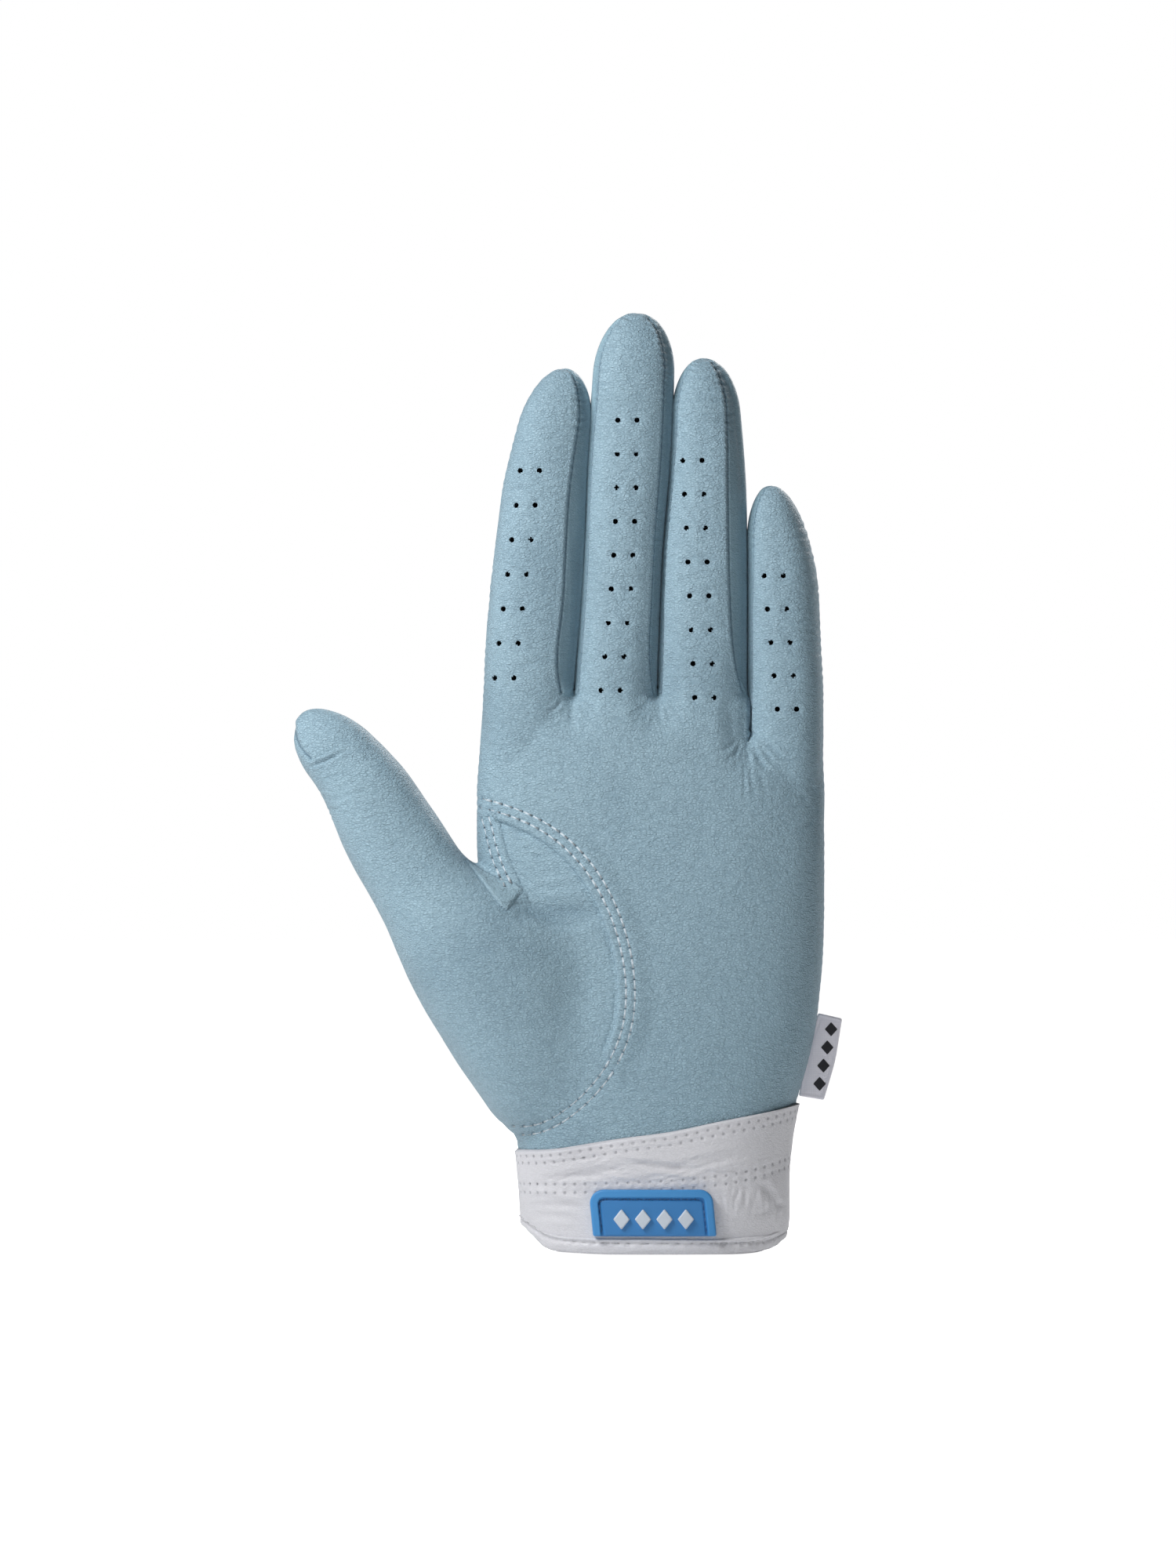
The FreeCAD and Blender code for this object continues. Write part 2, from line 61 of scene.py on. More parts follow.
# Golf glove, looks only. Lengths are in millimetres until a mesh is handed to Blender (MM).
# +X is the little-finger side, -Y the palm side, +Z the fingertips; the cuff stands at z = 0.
#
# The leather hand is one smooth solid made of overlapping ovals: the palm, four fingers and the thumb. It is
# meshed once, worked over (seams, wrinkles, punched holes), then cut into its leather panels and into
# one length for each hinge. Cuff, badge, tag, tab and stitches are built on top of it.

MM = 0.001
VOXEL = 0.42
LEATHER = 0.7
FINGER_GAP, GAP_LEFT = 0.9, -0.1
POWER = 2.35
rng = np.random.default_rng(7)

JOINTS = {j["name"]: j for j in frame["record"]["behaviour"]["joints"]}


def hinge(name):
    """Hinge position in millimetres."""
    return np.array(JOINTS[name]["pos_m"]) / MM


def top_of(node):
    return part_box(node)[1].z / MM


# ------------------------------------------------------------------ curves and noise
STRAIGHT_ON = 16.0


def spline(knots, values):
    """Natural cubic through the values at the knots, level before them and straight on for a while after."""
    x, y = np.array(knots, float), np.array(values, float)
    n, h = len(x), np.diff(x)
    a, r = np.eye(n), np.zeros(n)
    for i in range(1, n - 1):
        a[i, i - 1], a[i, i], a[i, i + 1] = h[i - 1], 2 * (h[i - 1] + h[i]), h[i]
        r[i] = 6 * ((y[i + 1] - y[i]) / h[i] - (y[i] - y[i - 1]) / h[i - 1])
    m = np.linalg.solve(a, r)

    end_slope = (y[-1] - y[-2]) / h[-1] + m[-2] * h[-1] / 6

    def at(t):
        beyond = np.clip(t - x[-1], 0, STRAIGHT_ON) * end_slope
        t = np.clip(t, x[0], x[-1])
        i = np.clip(np.searchsorted(x, t) - 1, 0, n - 2)
        u, v = x[i + 1] - t, t - x[i]
        cubic = (m[i] * u**3 + m[i + 1] * v**3) / (6 * h[i])
        return beyond + cubic + (y[i] / h[i] - m[i] * h[i] / 6) * u + (y[i + 1] / h[i] - m[i + 1] * h[i] / 6) * v

    return at


def smoothstep(low, high, x):
    t = np.clip((x - low) / (high - low), 0, 1)
    return t * t * (3 - 2 * t)


LATTICE = rng.random((32, 32, 32)).astype(np.float32)


def noise(p, scale):
    """Smooth noise from -1 to 1 at points p, with features about scale millimetres across."""
    q = p / scale
    i = np.floor(q).astype(int)
    f = q - i
    f = f * f * (3 - 2 * f)
    total = 0
    for corner in range(8):
        o = np.array([corner & 1, corner >> 1 & 1, corner >> 2 & 1])
        weight = np.prod(np.where(o, f, 1 - f), axis=-1)
        j = (i + o) % 32
        total = total + weight * LATTICE[j[..., 0], j[..., 1], j[..., 2]]
    return total * 2 - 1


def curve_points(points, step=0.5):
    """Evenly spaced points along a smooth curve through a few (x, z) points."""
    points = np.array(points, float)
    lengths = np.r_[0, np.cumsum(np.linalg.norm(np.diff(points, axis=0), axis=1))]
    fine = np.linspace(0, lengths[-1], 400)
    curve = np.stack([spline(lengths, points[:, k])(fine) for k in (0, 1)], axis=1)
    run = np.r_[0, np.cumsum(np.linalg.norm(np.diff(curve, axis=0), axis=1))]
    even = np.linspace(0, run[-1], max(2, int(round(run[-1] / step)) + 1))
    return np.stack([np.interp(even, run, curve[:, k]) for k in (0, 1)], axis=1)


def even_points(line, pitch):
    """Points a whole number of stitches apart along a line, as near to the pitch as fits."""
    run = np.r_[0, np.cumsum(np.linalg.norm(np.diff(line, axis=0), axis=1))]
    count = max(2, int(round(run[-1] / pitch)) + 1)
    return np.stack([np.interp(np.linspace(0, run[-1], count), run, column) for column in line.T], axis=1)


def offset_curve(curve, distance):
    along = np.gradient(curve, axis=0)
    along /= np.linalg.norm(along, axis=1)[:, None]
    return curve + np.stack([-along[:, 1], along[:, 0]], axis=1) * distance


def depth_inside(p, outline):
    """Distance of (x, z) points from a closed outline, positive inside it."""
    inside = np.zeros(len(p), bool)
    for (x0, z0), (x1, z1) in zip(outline[:-1], outline[1:]):
        crossed = (z0 > p[:, 1]) != (z1 > p[:, 1])
        rise = np.where(crossed, (p[:, 1] - z0) / (z1 - z0 if z1 != z0 else 1.0), 0)
        inside ^= crossed & (p[:, 0] < x0 + (x1 - x0) * rise)
    d = np.abs(curve_distance(p, outline)[0])
    return np.where(inside, d, -d)


def curve_distance(p, curve):
    """Signed distance from (x, z) points to a curve, positive to the left of it, and the run along it."""
    best = np.full(len(p), 1e9)
    signed = np.zeros(len(p))
    run = np.zeros(len(p))
    done = 0.0
    for a, b in zip(curve[:-1], curve[1:]):
        along = b - a
        length = np.linalg.norm(along)
        rel = p - a
        t = np.clip(rel @ along / length**2, 0, 1)
        off = rel - t[:, None] * along
        d = np.linalg.norm(off, axis=1)
        nearer = d < best
        side = np.sign(along[0] * rel[:, 1] - along[1] * rel[:, 0])
        best = np.where(nearer, d, best)
        signed = np.where(nearer, side * d, signed)
        run = np.where(nearer, done + t * length, run)
        done += length
    return signed, run


# ------------------------------------------------------------------ shape of the hand
class Oval:
    """A tube of superellipse sections along one axis, closed by a rounded tip."""

    def __init__(self, knots, left, right, front, back, tip=None):
        self.left, self.right = spline(knots, left), spline(knots, right)
        self.front, self.back = spline(knots, front), spline(knots, back)
        self.start, self.tip = knots[-1], tip

    def section(self, t):
        left, right, front, back = self.left(t), self.right(t), self.front(t), self.back(t)
        return (left + right) / 2, (right - left) / 2, (front + back) / 2, (back - front) / 2

    def lateral(self, s, t):
        """Place across the oval, -1 at its left edge and 1 at its right, and the half width there."""
        centre, half, _, _ = self.section(t)
        shrink = 1.0
        if self.tip is not None:
            rise = np.clip((t - self.start) / (self.tip - self.start), 0, 0.9999)
            shrink = np.sqrt(1 - rise**2)
        return (s - centre) / (half * shrink), half * shrink

    def field(self, s, y, t):
        centre_s, half_s, centre_y, half_y = self.section(t)
        q = (np.abs((s - centre_s) / half_s) ** POWER + np.abs((y - centre_y) / half_y) ** POWER) ** (1 / POWER)
        if self.tip is not None:
            rise = np.maximum(t - self.start, 0) / (self.tip - self.start)
            q = np.sqrt(q**2 + rise**2)
        return (q - 1) * np.minimum(half_s, half_y)


PALM = Oval(
    (0, 12, 30, 45, 60, 78, 95, 115, 134),
    (-31.2, -31.6, -33.6, -36.6, -38.6, -40.8, -42.2, -41.8, -41.0),
    (29.6, 29.9, 31.3, 35.0, 37.7, 39.0, 39.3, 39.0, 38.6),
    (-16.9, -17.0, -17.0, -17.2, -16.9, -15.8, -14.0, -11.2, -8.6),
    (16.9, 17.0, 16.8, 15.8, 15.0, 14.0, 12.6, 10.8, 8.6),
)
CROTCH = {"index": 131.0, "middle": 131.0, "ring": 131.0, "little": 122.0}

# Left and right edges of each finger at its crotch, part way up, and where its tip starts to round off.
FINGER_SHAPE = {
    "index": {
        "z": (112, 132, 150, 165, 180, 194),
        "left": (-40.6, -41.0, -39.6, -38.2, -36.2, -33.0),
        "right": (-20.6, -19.6, -17.9, -17.0, -16.5, -15.6),
        "holes": ((-36.0, 134.5), (-30.0, 183.0), 7),
    },
    "middle": {
        "z": (112, 132, 150, 166, 184, 206),
        "left": (-20.6, -19.6, -18.3, -17.3, -16.6, -15.2),
        "right": (-0.2, -0.1, 0.5, 1.3, 2.9, 3.8),
        "holes": ((-11.1, 131.6), (-7.2, 194.8), 9),
    },
    "ring": {
        "z": (112, 132, 150, 166, 180, 197),
        "left": (-0.2, -0.1, 0.5, 1.3, 2.5, 3.3),
        "right": (21.0, 20.9, 21.0, 20.9, 20.6, 19.3),
        "holes": ((10.8, 129.9), (8.0, 185.4), 8),
    },
    "little": {
        "z": (104, 122, 134, 150, 160, 167),
        "left": (20.8, 20.9, 21.0, 21.0, 21.0, 20.9),
        "right": (38.0, 38.9, 38.4, 37.7, 36.9, 35.4),
        "holes": ((30.1, 127.2), (27.0, 158.4), 5),
    },
}
HALF_DEPTH = (7.6, 8.9, 8.5, 8.2, 7.8, 7.2)
HOLE_SPACING, HOLE_R = 4.5, 0.64


def finger_oval(name):
    shape = FINGER_SHAPE[name]
    inset_left = 0 if name == "index" else FINGER_GAP / 2
    inset_right = 0 if name == "little" else FINGER_GAP / 2
    left = [x + inset_left for x in shape["left"]]
    right = [x - inset_right for x in shape["right"]]
    back = list(HALF_DEPTH)
    front = [-d for d in HALF_DEPTH]
    return Oval(shape["z"], left, right, front, back, top_of(f"{name}_distal_side_strip"))


FINGERS = {name: finger_oval(name) for name in FINGER_SHAPE}

THUMB_AXIS = np.array(JOINTS["thumb_root_bend"]["axis"])
THUMB_AXIS /= np.linalg.norm(THUMB_AXIS)
THUMB_ALONG = np.array([-THUMB_AXIS[2], 0, THUMB_AXIS[0]])
THUMB_ORIGIN = hinge("thumb_root_bend") * np.array([1, 0, 1])
THUMB = Oval(
    (-66, -44, -33, -22, -12, -2, 8, 16, 24, 30, 37),
    (-14.4, -13.6, -14.1, -14.5, -13.4, -11.9, -11.4, -10.9, -9.5, -8.5, -8.5),
    (2, 12, 19, 21, 18, 12.8, 11.6, 11.3, 10.9, 10.2, 8.7),
    (-10.0, -17.0, -19.5, -20.4, -19.4, -16.6, -14.6, -14.2, -13.8, -13.3, -12.6),
    (9.5, 10.0, 10.2, 9.6, 8.2, 6.2, 5.0, 4.6, 3.8, 3.0, 2.2),
    49.6,
)


def to_thumb(x, z):
    """Place across the thumb, and along it from its root hinge."""
    dx, dz = x - THUMB_ORIGIN[0], z - THUMB_ORIGIN[2]
    return dx * THUMB_AXIS[0] + dz * THUMB_AXIS[2], dx * THUMB_ALONG[0] + dz * THUMB_ALONG[2]


def from_thumb(s, t):
    return THUMB_ORIGIN[0] + s * THUMB_AXIS[0] + t * THUMB_ALONG[0], THUMB_ORIGIN[2] + s * THUMB_AXIS[2] + t * THUMB_ALONG[2]


def blend_union(a, b, k):
    """Union of two fields with a fillet about k wide."""
    h = np.clip(0.5 + 0.5 * (b - a) / k, 0, 1)
    return b + (a - b) * h - k * h * (1 - h)


def cap(field, plane, k=2.0):
    """Keeps the part of a field where plane is negative, with a rounded edge."""
    return -blend_union(-field, -plane, k)


def hand_field(x, y, z):
    palm_top = np.where(x < 20.9, CROTCH["ring"], CROTCH["little"]) + 0.35 * np.clip(y + 6, 0, 14)
    palm = cap(PALM.field(x, y, z), z - palm_top, 1.5)
    palm = np.maximum(palm, HAND_BOTTOM - z)
    valley = sum(smoothstep(5.0, 1.5, np.abs(x - middle)) for middle in CROTCH_X)
    for middle, height in zip(CROTCH_X, (CROTCH["middle"], CROTCH["ring"], CROTCH["little"])):
        palm = palm + 2.4 * smoothstep(8.0, 0.0, np.abs(x - middle)) * smoothstep(13.0, 0.0, height - z)
    total = None
    for name, oval in FINGERS.items():
        finger = np.maximum(oval.field(x, y, z), FINGER_SHAPE[name]["z"][0] - z)
        joined = blend_union(finger, palm, 0.2 + 2.8 * valley)
        total = joined if total is None else np.minimum(total, joined)
    s, t = to_thumb(x, z)
    thumb = cap(THUMB.field(s, y, t), THUMB_FLOOR - z, 8.0)
    return blend_union(thumb, total, 2.0 + 8.0 * smoothstep(92, 62, z) * smoothstep(24, 46, z))


CROTCH_X = (-20.2, -0.1, 20.85)
HAND_BOTTOM, THUMB_FLOOR = 16.0, 27.0


def normals_of(field, p, step=0.05):
    """Field value and unit gradient at the points."""
    value = field(p[:, 0], p[:, 1], p[:, 2])
    grad = np.empty_like(p)
    for k in range(3):
        q = p.copy()
        q[:, k] += step
        grad[:, k] = (field(q[:, 0], q[:, 1], q[:, 2]) - value) / step
    size = np.linalg.norm(grad, axis=1)
    return value, grad / size[:, None], size


def close_gaps(p):
    """Widens the fingers after meshing, until neighbours almost touch."""
    owner = owner_of(p)
    for i, (name, oval) in enumerate(FINGERS.items()):
        mine = np.flatnonzero(owner == i)
        across, _ = oval.lateral(p[mine, 0], p[mine, 2])
        inner = {"index": across > 0, "little": across < 0}.get(name, True)
        fade = smoothstep(CROTCH[name] - 1.0, CROTCH[name] + 1.0, p[mine, 2])
        p[mine, 0] += np.clip(across, -1, 1) * inner * fade * (FINGER_GAP - GAP_LEFT) / 2
    return p


def mesh_of(field, low, high):
    """Quads over the zero surface of a field, moved onto it exactly."""
    axes = [np.arange(a, b, VOXEL, dtype=np.float32) for a, b in zip(low, high)]
    x, y, z = np.meshgrid(*axes, indexing="ij", sparse=True)
    values = np.ascontiguousarray(np.broadcast_to(field(x, y, z), [len(a) for a in axes]), dtype=np.float32)
    grid = openvdb.FloatGrid(10.0)
    grid.copyFromArray(values)
    points, quads = grid.convertToQuads(0.0)
    p = points.astype(float) * VOXEL + np.array(low)
    for _ in range(3):
        p = relax(p, quads, 0.5)
        value, normal, size = normals_of(field, p)
        p -= normal * np.clip(value / size, -VOXEL, VOXEL)[:, None]
    return p, quads.astype(int)


def relax(p, quads, amount):
    """Moves every point part of the way to the middle of its neighbours."""
    total = np.zeros_like(p)
    count = np.zeros(len(p))
    for k in range(4):
        a, b = quads[:, k], quads[:, (k + 1) % 4]
        for i, j in ((a, b), (b, a)):
            for axis in range(3):
                total[:, axis] += np.bincount(i, p[j, axis], len(p))
            count += np.bincount(i, minlength=len(p))
    return p + amount * (total / np.maximum(count, 1)[:, None] - p)


def melt_roots(p, quads):
    """Evens out the leather where the fingers grow out of the palm, away from the crotches."""
    x, z = p[:, 0], p[:, 2]
    root = np.where(x > CROTCH_X[2], CROTCH["little"], CROTCH["ring"])
    beside = np.min([np.abs(x - middle) for middle in CROTCH_X], axis=0)
    share = smoothstep(7.0, 2.0, np.abs(z - root)) * smoothstep(1.0, 3.5, beside)
    for _ in range(24):
        p = p + (relax(p, quads, 0.5) - p) * share[:, None]
    return p


def vertex_normals(p, quads):
    a, b = p[quads[:, 2]] - p[quads[:, 0]], p[quads[:, 3]] - p[quads[:, 1]]
    face = np.cross(a, b)
    total = np.zeros_like(p)
    for k in range(4):
        for axis in range(3):
            total[:, axis] += np.bincount(quads[:, k], face[:, axis], len(p))
    return total / np.maximum(np.linalg.norm(total, axis=1), 1e-12)[:, None]


# ------------------------------------------------------------------ seams, wrinkles and holes
# How far each front seam lies in from the finger's edge, from the crotch (0) to where the tip rounds off (1).
INSET_SHARES = (0.0, 0.08, 0.3, 0.6, 0.8, 1.0)
FRONT_INSETS = {
    ("index", 1): (2.4, 3.6, 3.9, 3.9, 3.3, 2.2),
    ("middle", -1): (0.3, 0.4, 0.4, 0.4, 0.5, 0.7),
    ("middle", 1): (0.3, 1.1, 1.5, 1.6, 1.7, 1.6),
    ("ring", -1): (0.2, 0.3, 0.3, 0.3, 0.4, 0.5),
    ("ring", 1): (0.4, 1.8, 3.5, 3.9, 3.5, 2.5),
    ("little", -1): (0.2, 0.3, 0.4, 0.5, 0.7, 0.9),
}
BACK_INSET = 2.6
THUMB_EDGE = curve_points([
    (-42.0, 102.4), (-37.6, 101.2), (-26.7, 96.2), (-18.2, 88.0), (-13.2, 79.0), (-9.7, 65.5),
    (-10.1, 54.0), (-14.4, 44.0), (-22.6, 35.4), (-29.8, 31.8), (-38.5, 32.4),
])
QUIRK_EDGE = curve_points([(-37.9, 102.8), (-37.2, 100.6), (-36.3, 96.6), (-34.3, 90.6), (-32.0, 85.8)])
TONGUE = np.array([
    (-45.0, 92.0), (-40.2, 85.6), (-36.8, 81.4), (-35.3, 80.4), (-31.9, 84.6), (-33.3, 86.3), (-37.2, 87.0),
    (-41.2, 89.4), (-45.0, 92.0),
])
THUMB_BACK = curve_points([(-33.4, 20.0), (-34.6, 50.0), (-37.6, 74.0), (-43.0, 92.0)])
THUMB_TIP_SEAM = curve_points([(-85.4, 126.5), (-84.5, 120.8), (-83.2, 118.0), (-81.0, 115.6)])


def seam_shape(d, depth=0.45):
    """Cross-section of a closed seam: a pinched groove with soft shoulders."""
    return -depth * np.exp(-((d / 0.36) ** 2)) + 0.2 * depth * np.exp(-(((np.abs(d) - 1.0) / 0.5) ** 2))


class Relief:
    """Displacement, seam distance and tint gathered for every point of the hand; the leather paints shade where the
    displacement sinks and near the seams.
    """

    def __init__(self, p, n):
        self.p, self.n = p, n
        self.lift = np.zeros(len(p))
        self.seam = np.full(len(p), 9.0)
        self.tint = np.zeros(len(p))
        self.grain = noise(p, 1.7)

    def add_seam(self, index, d, run, depth=0.45, pucker=0.1, reach=1.8):
        self.seam[index] = np.minimum(self.seam[index], np.abs(d))
        ripple = np.sin(2 * np.pi * run / 2.1 + 2.5 * noise(self.p[index], 9.0))
        ripple = ripple * (0.6 + 0.8 * noise(self.p[index], 5.0)) * np.exp(-np.abs(d) / reach)
        self.lift[index] += seam_shape(d, depth) + pucker * ripple


def owner_of(p):
    """Which stall each point belongs to: 0 to 3 for the fingers, 4 thumb, 5 palm."""
    x, y, z = p.T
    crotch = np.array([CROTCH[n] for n in FINGERS])
    fields = np.stack([oval.field(x, y, z) for oval in FINGERS.values()])
    finger = np.argmin(fields, axis=0)
    owner = np.where(z > crotch[finger] - 0.5, finger, 5)
    s, t = to_thumb(x, z)
    in_thumb = THUMB.field(s, y, t) < PALM.field(x, y, z) + 0.2
    return np.where(in_thumb & (x < -20) & (z < 132), 4, owner)


def finger_seams(relief, owner):
    p, n = relief.p, relief.n
    for i, (name, oval) in enumerate(FINGERS.items()):
        index = np.flatnonzero((owner == i))
        x, y, z = p[index].T
        across, half = oval.lateral(x, z)
        share = np.clip((z - CROTCH[name]) / (oval.start - CROTCH[name]), 0, 1)
        slope = np.maximum(np.abs(n[index, 1]), 0.2)
        for side in (-1, 1):
            front, back = y < 0.0, y >= 0.0
            if (name, side) in FRONT_INSETS:
                inset = spline(INSET_SHARES, FRONT_INSETS[name, side])(share)
                d = (side * across - (1 - inset / oval.section(np.minimum(z, oval.start))[1])) * half / slope
                tip = smoothstep(0.85, 1.0, share)
                relief.add_seam(index[front], d[front], z[front], 0.45, 0.09)
                sunk = smoothstep(0.0, 1.0, d) * smoothstep(0.0, 0.06, share) * smoothstep(-1.0, -4.0, y)
                relief.lift[index[front]] -= 0.5 * sunk[front]
                wrinkle = np.exp(-np.abs(d) / 3.0) * tip * 0.16
                ripple = np.sin(2 * np.pi * z / 1.5 + 4 * noise(p[index], 3.0))
                relief.lift[index[front]] += (wrinkle * ripple)[front]
                d = (side * across - (1 - BACK_INSET / half.max())) * half / slope
                relief.add_seam(index[back], d[back], z[back], 0.4, 0.07)
            else:
                outer = side * across > 0.6
                relief.add_seam(index[outer], y[outer], z[outer], 0.35, 0.1)


def side_seams(relief, owner):
    """Seams down both edges of the palm, where the palm and back leathers meet."""
    x, y, z = relief.p.T
    for side in (-1, 1):
        near = (owner == 5) & (np.abs(y) < 6) & (side * x > 28)
        if side < 0:
            near &= z > 90
        index = np.flatnonzero(near)
        relief.add_seam(index, y[index] - 0.4, z[index], 0.35, 0.08)


def overlap(relief, index, d, height, width):
    """A leather laid over another: a step at d = 0, raised where d is positive, easing off over width."""
    height = height * smoothstep(0.0, -0.45, relief.n[index, 1])
    relief.lift[index] += height * smoothstep(-0.25, 0.3, d) * (1 - smoothstep(0.35 * width, width, d))
    relief.lift[index] -= 0.25 * height * np.exp(-(((d + 0.5) / 0.5) ** 2))
    # The seam layer set here paints a shade line along the step.
    relief.seam[index] = np.minimum(relief.seam[index], np.abs(d + 0.2) + 0.12)


def dimple(relief, index, places, holes, depth, radius):
    """Small pits where a needle went through; places are the points at index, in the holes' own coordinates."""
    for hole in holes:
        near = np.flatnonzero(np.abs(places - hole).max(axis=1) < 1.2)
        d = np.linalg.norm(places[near] - hole, axis=1)
        relief.lift[index[near]] -= depth * np.exp(-((d / radius) ** 2))
        # The seam layer set here paints shade round each pit.
        relief.seam[index[near]] = np.minimum(relief.seam[index[near]], 0.65 * d)


ROWS = (1.9, 3.95)
QUIRK_ROWS = (1.8, 3.5)
THUMB_PITCH = 2.45
THUMB_ROWS = [even_points(offset_curve(THUMB_EDGE, d), THUMB_PITCH) for d in ROWS]
THUMB_ROWS += [even_points(offset_curve(QUIRK_EDGE, -d)[:34], THUMB_PITCH) for d in QUIRK_ROWS]


def thumb_seams(relief, owner):
    x, y, z = relief.p.T
    index = np.flatnonzero((relief.n[:, 1] < 0.1) & (y < 0) & (x > -48) & (x < 0) & (z > 24) & (z < 110))
    q = relief.p[index][:, [0, 2]]
    facing = smoothstep(0.0, -0.45, relief.n[index, 1])
    palm_side, run = curve_distance(q, THUMB_EDGE)
    quirk_side, quirk_run = curve_distance(q, QUIRK_EDGE)
    inside_quirk = (quirk_side < 0) & (q[:, 1] > 84)
    overlap(relief, index, np.where(quirk_side < -0.5, -9, palm_side), 0.75, 9.0)
    for row in ROWS:
        relief.lift[index] -= 0.14 * np.exp(-(((palm_side - row) / 0.5) ** 2))
    for row in THUMB_ROWS:
        dimple(relief, index, q, row, 0.25, 0.34)
    near_quirk = (q[:, 1] > 82) & (palm_side < 6)
    d = np.where(near_quirk, -quirk_side, -9)
    overlap(relief, index, d, 0.4, 7.0)
    for row in QUIRK_ROWS:
        relief.lift[index] -= np.where(inside_quirk, 0.14 * np.exp(-(((-quirk_side - row) / 0.45) ** 2)), 0)
    d = depth_inside(q, TONGUE)
    relief.lift[index] += 0.5 * smoothstep(-0.2, 0.3, d) * facing
    # The seam layer set here paints a shade line round the tongue's edge.
    relief.seam[index] = np.minimum(relief.seam[index], np.abs(d + 0.15) + 0.1)
    relief.tint[index] += smoothstep(-0.1, 0.2, d)
    # the tip seam of the thumb
    index = np.flatnonzero((owner == 4) & (relief.n[:, 1] < 0.3) & (z > 112))
    d, run = curve_distance(relief.p[index][:, [0, 2]], THUMB_TIP_SEAM)
    relief.add_seam(index, d, run, 0.35, 0.08, 1.5)
    # the back seam of the thumb panel
    index = np.flatnonzero((y > 0) & (x < -25) & (z < 96))
    d, run = curve_distance(relief.p[index][:, [0, 2]], THUMB_BACK)
    relief.add_seam(index, d, run, 0.35, 0.08)


def stroke(relief, front, a, b, depth, width, bow=0.0):
    """One wrinkle from a to b, given as (x, z), deepest in the middle, with soft lips."""
    a, b = np.array(a, float), np.array(b, float)
    along = b - a
    length = np.linalg.norm(along)
    along = along / length
    rel = relief.p[front][:, [0, 2]] - a
    t = rel @ along / length
    off = rel[:, 0] * -along[1] + rel[:, 1] * along[0] - bow * np.sin(np.pi * np.clip(t, 0, 1))
    fade = np.sin(np.pi * np.clip(t, 0, 1)) ** 0.8
    shape = -np.exp(-((off / width) ** 2)) + 0.5 * np.exp(-(((np.abs(off) - 1.8 * width) / width) ** 2))
    relief.lift[front] += depth * fade * shape


def fan(relief, front, centre, start, stop, count, near, far, depth, width):
    """Wrinkles that spread out from a point, between two directions in degrees."""
    for angle in np.linspace(start, stop, count) + rng.uniform(-5, 5, count):
        turn = math.radians(angle)
        way = np.array([math.cos(turn), math.sin(turn)])
        first = near * rng.uniform(0.6, 1.6)
        last = far * rng.uniform(0.55, 1.0)
        stroke(relief, front, centre + way * first, centre + way * last,
               depth * rng.uniform(0.5, 1.0), width * rng.uniform(0.8, 1.3), rng.uniform(-0.8, 0.8))


def wrinkles(relief, owner):
    x, y, z = relief.p.T
    front = np.flatnonzero((relief.n[:, 1] < 0.25))
    palm = front[(owner[front] == 5) | (z[front] < 145)]
    for centre in ((-20.4, 131), (-0.1, 131), (20.8, 122)):
        fan(relief, palm, np.array(centre), 215, 325, 14, 1.5, 11.0, 0.14, 0.45)
    fan(relief, palm, np.array((20.8, 122)), 265, 340, 9, 2.0, 18.0, 0.17, 0.55)
    fan(relief, palm, np.array((39.5, 104)), 120, 215, 8, 3.0, 12.0, 0.12, 0.5)
    fan(relief, palm, np.array((-33, 83)), 265, 385, 12, 2.5, 10.0, 0.1, 0.5)
    for _ in range(16):
        a = np.array([rng.uniform(-36.0, -29.0), rng.uniform(88.0, 99.0)])
        stroke(relief, palm, a, a + (rng.uniform(2.0, 6.0), rng.uniform(-1.2, 0.4)), rng.uniform(0.08, 0.18), 0.4)
    stroke(relief, front, (-82.0, 113.6), (-72.6, 117.8), 0.5, 0.4, -0.3)
    stroke(relief, front, (-81.0, 115.4), (-74.0, 118.0), 0.2, 0.4, 0.3)
    for _ in range(26):
        a = np.array([rng.uniform(-80.0, -70.0), rng.uniform(102.0, 115.0)])
        stroke(relief, front, a, a + (rng.uniform(1.5, 5.0), rng.uniform(0.2, 1.6)), rng.uniform(0.05, 0.14), 0.4)
    stroke(relief, palm, (-34.0, 80.6), (-12.0, 80.2), 0.7, 2.2, -0.9)
    stroke(relief, palm, (-29.0, 77.6), (-16.0, 76.6), 0.35, 1.3, -0.4)
    stroke(relief, palm, (-30.0, 84.4), (-15.0, 86.0), 0.2, 0.9, 0.5)
    for i, x0, x1, low, high, count in ((3, 31, 38.5, 136, 172, 16), (2, 2, 16, 146, 172, 12),
                                        (2, 3, 15, 186, 200, 6), (0, -40, -24, 138, 160, 6),
                                        (1, -17, 2, 140, 160, 6), (3, 21, 36, 140, 160, 8)):
        mine = front[owner[front] == i]
        for level in np.linspace(low, high, count):
            middle = rng.uniform(x0, x1)
            reach = rng.uniform(1.5, 4.0)
            stroke(relief, mine, (middle - reach, level + rng.uniform(-1, 1)), (middle + reach, level + rng.uniform(-1, 1)),
                   rng.uniform(0.06, 0.16), rng.uniform(0.35, 0.6), rng.uniform(-0.5, 0.5))


def softness(relief):
    """Slow dents and swells of leather that nothing stretches tight."""
    p = relief.p
    beside = np.exp(-np.min([np.abs(p[:, 0] - x) for x in CROTCH_X], axis=0) / 1.5) * (p[:, 2] > 118)
    relief.lift += (0.35 * noise(p, 22.0) + 0.16 * noise(p, 9.0) + 0.05 * noise(p, 4.0)) * (1 - beside)


def flatten_flanks(relief, owner):
    """Fingers press flat against each other, so nothing stands out or sinks between them."""
    flank = smoothstep(0.45, 0.15, np.abs(relief.n[:, 1])) * (relief.p[:, 2] > 118)
    facing = relief.n[:, 0]
    inner = (owner < 4) & ~((owner == 0) & (facing < 0)) & ~((owner == 3) & (facing > 0))
    relief.lift *= 1 - flank * inner * smoothstep(0.6, 0.85, np.abs(facing))


